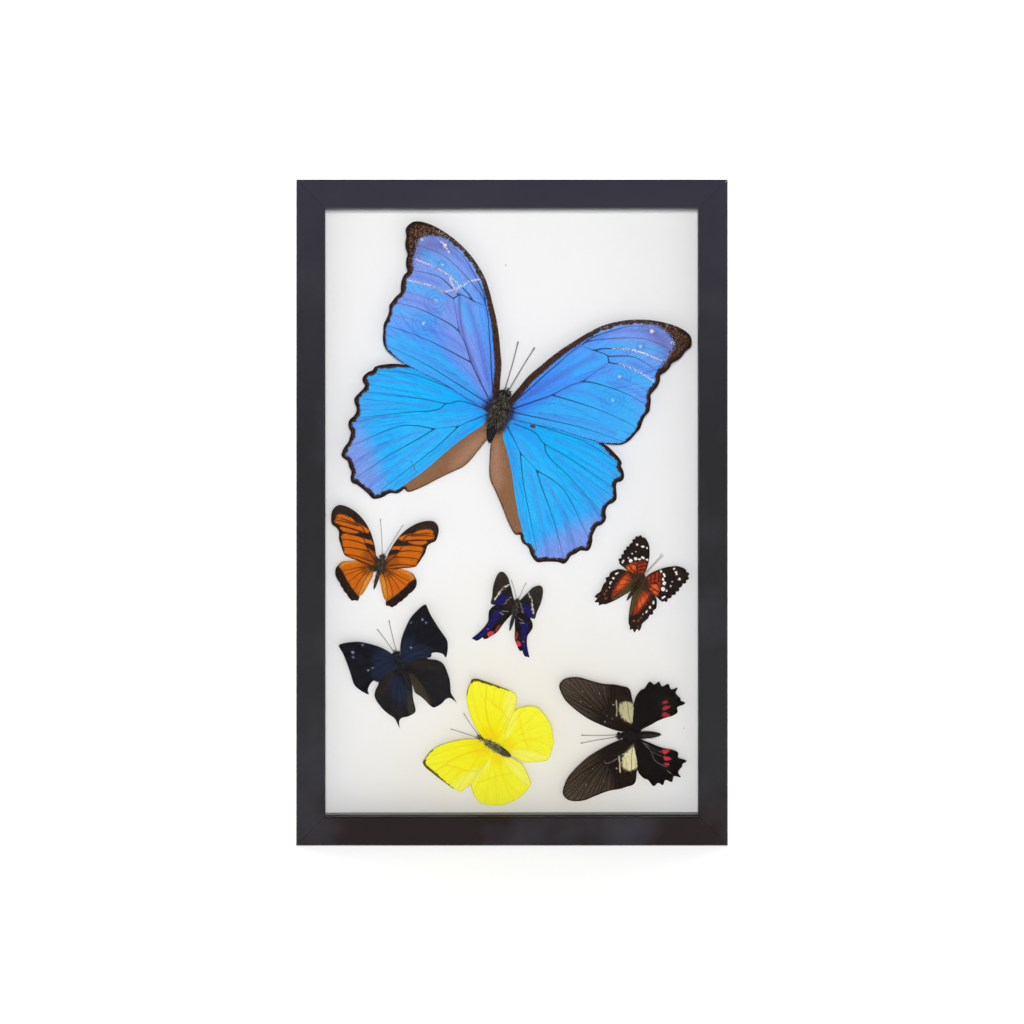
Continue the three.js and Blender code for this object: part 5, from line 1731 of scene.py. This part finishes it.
def hardboard():
    """Hardboard, wood fibre pressed into a sheet: brown, flecked with paler and darker fibres."""
    material, tree, shader = new_material("pressed_hardboard", Roughness=0.85, Specular_IOR_Level=0.25)
    place = add(tree, "ShaderNodeTexCoord").outputs["Object"]
    cloud = add(tree, "ShaderNodeTexNoise", {"Vector": place, "Scale": 1 / (30 * MM), "Detail": 3.0})
    drawn = add(tree, "ShaderNodeMapping", {"Vector": place, "Scale": FIBRES})
    fibre = add(tree, "ShaderNodeTexNoise", {"Vector": drawn, "Scale": 1.0, "Detail": 4.0})
    both = add(tree, "ShaderNodeMath", {0: cloud, 1: 0.35, 2: fibre}, operation="MULTIPLY_ADD")
    browns = ((0.46, "#523C28"), (0.67, "#7C5E41"), (0.9, "#A0815E"))
    colour = add(tree, "ShaderNodeValToRGB", {"Fac": both}, stops=browns)
    bump = add(tree, "ShaderNodeBump", {"Height": fibre, "Strength": 0.5, "Distance": 0.15 * MM})
    feed(tree, shader, {"Base Color": colour, "Normal": bump})
    return material


def zinc_steel():
    """Zinc-plated steel strip: bright grey, with a cloudy, slightly dulled plating."""
    material, tree, shader = new_material("zinc_plated_steel", Metallic=1.0)
    place = add(tree, "ShaderNodeTexCoord").outputs["Object"]
    cloud = add(tree, "ShaderNodeTexNoise", {"Vector": place, "Scale": 1 / (3 * MM), "Detail": 3.0})
    greys = ((0.35, "#9A9DA2"), (0.65, "#C6C9CC"))
    colour = add(tree, "ShaderNodeValToRGB", {"Fac": cloud}, stops=greys)
    rough = add(tree, "ShaderNodeMapRange", {"Value": cloud, "To Min": 0.22, "To Max": 0.5})
    feed(tree, shader, {"Base Color": colour, "Roughness": rough})
    return material


def picture_glass():
    """Clear float glass, 2 mm: seen only by a faint reflection and its edges."""
    tint = linear("#202020")
    return even("clear_picture_glass", "#FFFFFF", 0.0, IOR=1.5, Transmission_Weight=1.0, Specular_Tint=tint)


PAINT, STRIP, ZINC = painted_wood(), spacer_strip(), zinc_steel()
for side in ("top", "bottom", "left", "right"):
    for kind, slot, section, finish in (
        ("frame_rail", "frame_paint", RAIL_SECTION, PAINT),
        ("spacer", "spacer", SPACER_SECTION, STRIP),
    ):
        name = f"{kind}_{side}"
        dressed(new_piece(f"{name}_made", strip_mesh(name, side, section), finish), name)
softened("backing_card", 0.12, mount_card())
softened("back_board", 0.3, hardboard())
softened("glass_pane", 0.15, picture_glass()).visible_shadow = False
softened("sawtooth_hanger", 0.12, ZINC)
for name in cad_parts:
    if name.startswith("hanger_rivet"):
        softened(name, 0.15, ZINC)
    elif name.startswith("frame_point"):
        softened(name, 0.1, ZINC)

# ---------- floor, backdrop and light ----------

ROOM_LIGHT = 0.13
KEY_LIGHT = 1.8
KEY_FROM = (-0.02, -1, 0.07)
KEY_WIDE = 10  # how wide the key light is, in degrees
BACKDROP_GLOW = 0.78  # the sheet is lit from behind a little, as on a light table
FLOOR_DROP = 0.2 * MM  # the sheet lies this far below the frame, so that the two don't touch


def make_stage():
    """A pale sheet that runs from the floor up behind the object in one curve."""
    wide, front, back, tall, bend = 3.0, -2.5, 1.2, 2.2, 0.5
    arc = np.linspace(0, math.pi / 2, 13)
    profile = [(back - bend + bend * math.sin(a), bend - bend * math.cos(a)) for a in arc]
    profile = [(front, 0), *profile, (back, tall)]
    corners = [(side * wide, y, z - FLOOR_DROP) for y, z in profile for side in (-1, 1)]
    faces = [(2 * i, 2 * i + 1, 2 * i + 3, 2 * i + 2) for i in range(len(profile) - 1)]
    glow = dict(Emission_Color=(1, 1, 1, 1), Emission_Strength=BACKDROP_GLOW)
    paper = even("white_backdrop_paper", "#F7F7F7", 0.9, **glow)
    new_piece("backdrop", smooth_mesh("backdrop", corners, faces), paper)


def make_lights():
    """An even white room, and one broad soft light from the front, a little above and left."""
    world = bpy.data.worlds.new("studio")
    world.use_nodes = True
    sky = world.node_tree.nodes["Background"]
    feed(world.node_tree, sky, {"Color": (1, 1, 1, 1), "Strength": ROOM_LIGHT})
    bpy.context.scene.world = world
    data = bpy.data.lights.new("key", "SUN")
    data.energy, data.angle = KEY_LIGHT, math.radians(KEY_WIDE)
    lamp = bpy.data.objects.new("key", data)
    # The pane casts no shadow, so what comes through it isn't counted a second time.
    lamp.visible_transmission = False
    lamp.visible_glossy = False
    lamp.rotation_euler = Vector(KEY_FROM).to_track_quat("Z", "Y").to_euler()
    bpy.context.scene.collection.objects.link(lamp)


make_stage()
make_lights()
bpy.context.scene.view_settings.view_transform = "Standard"
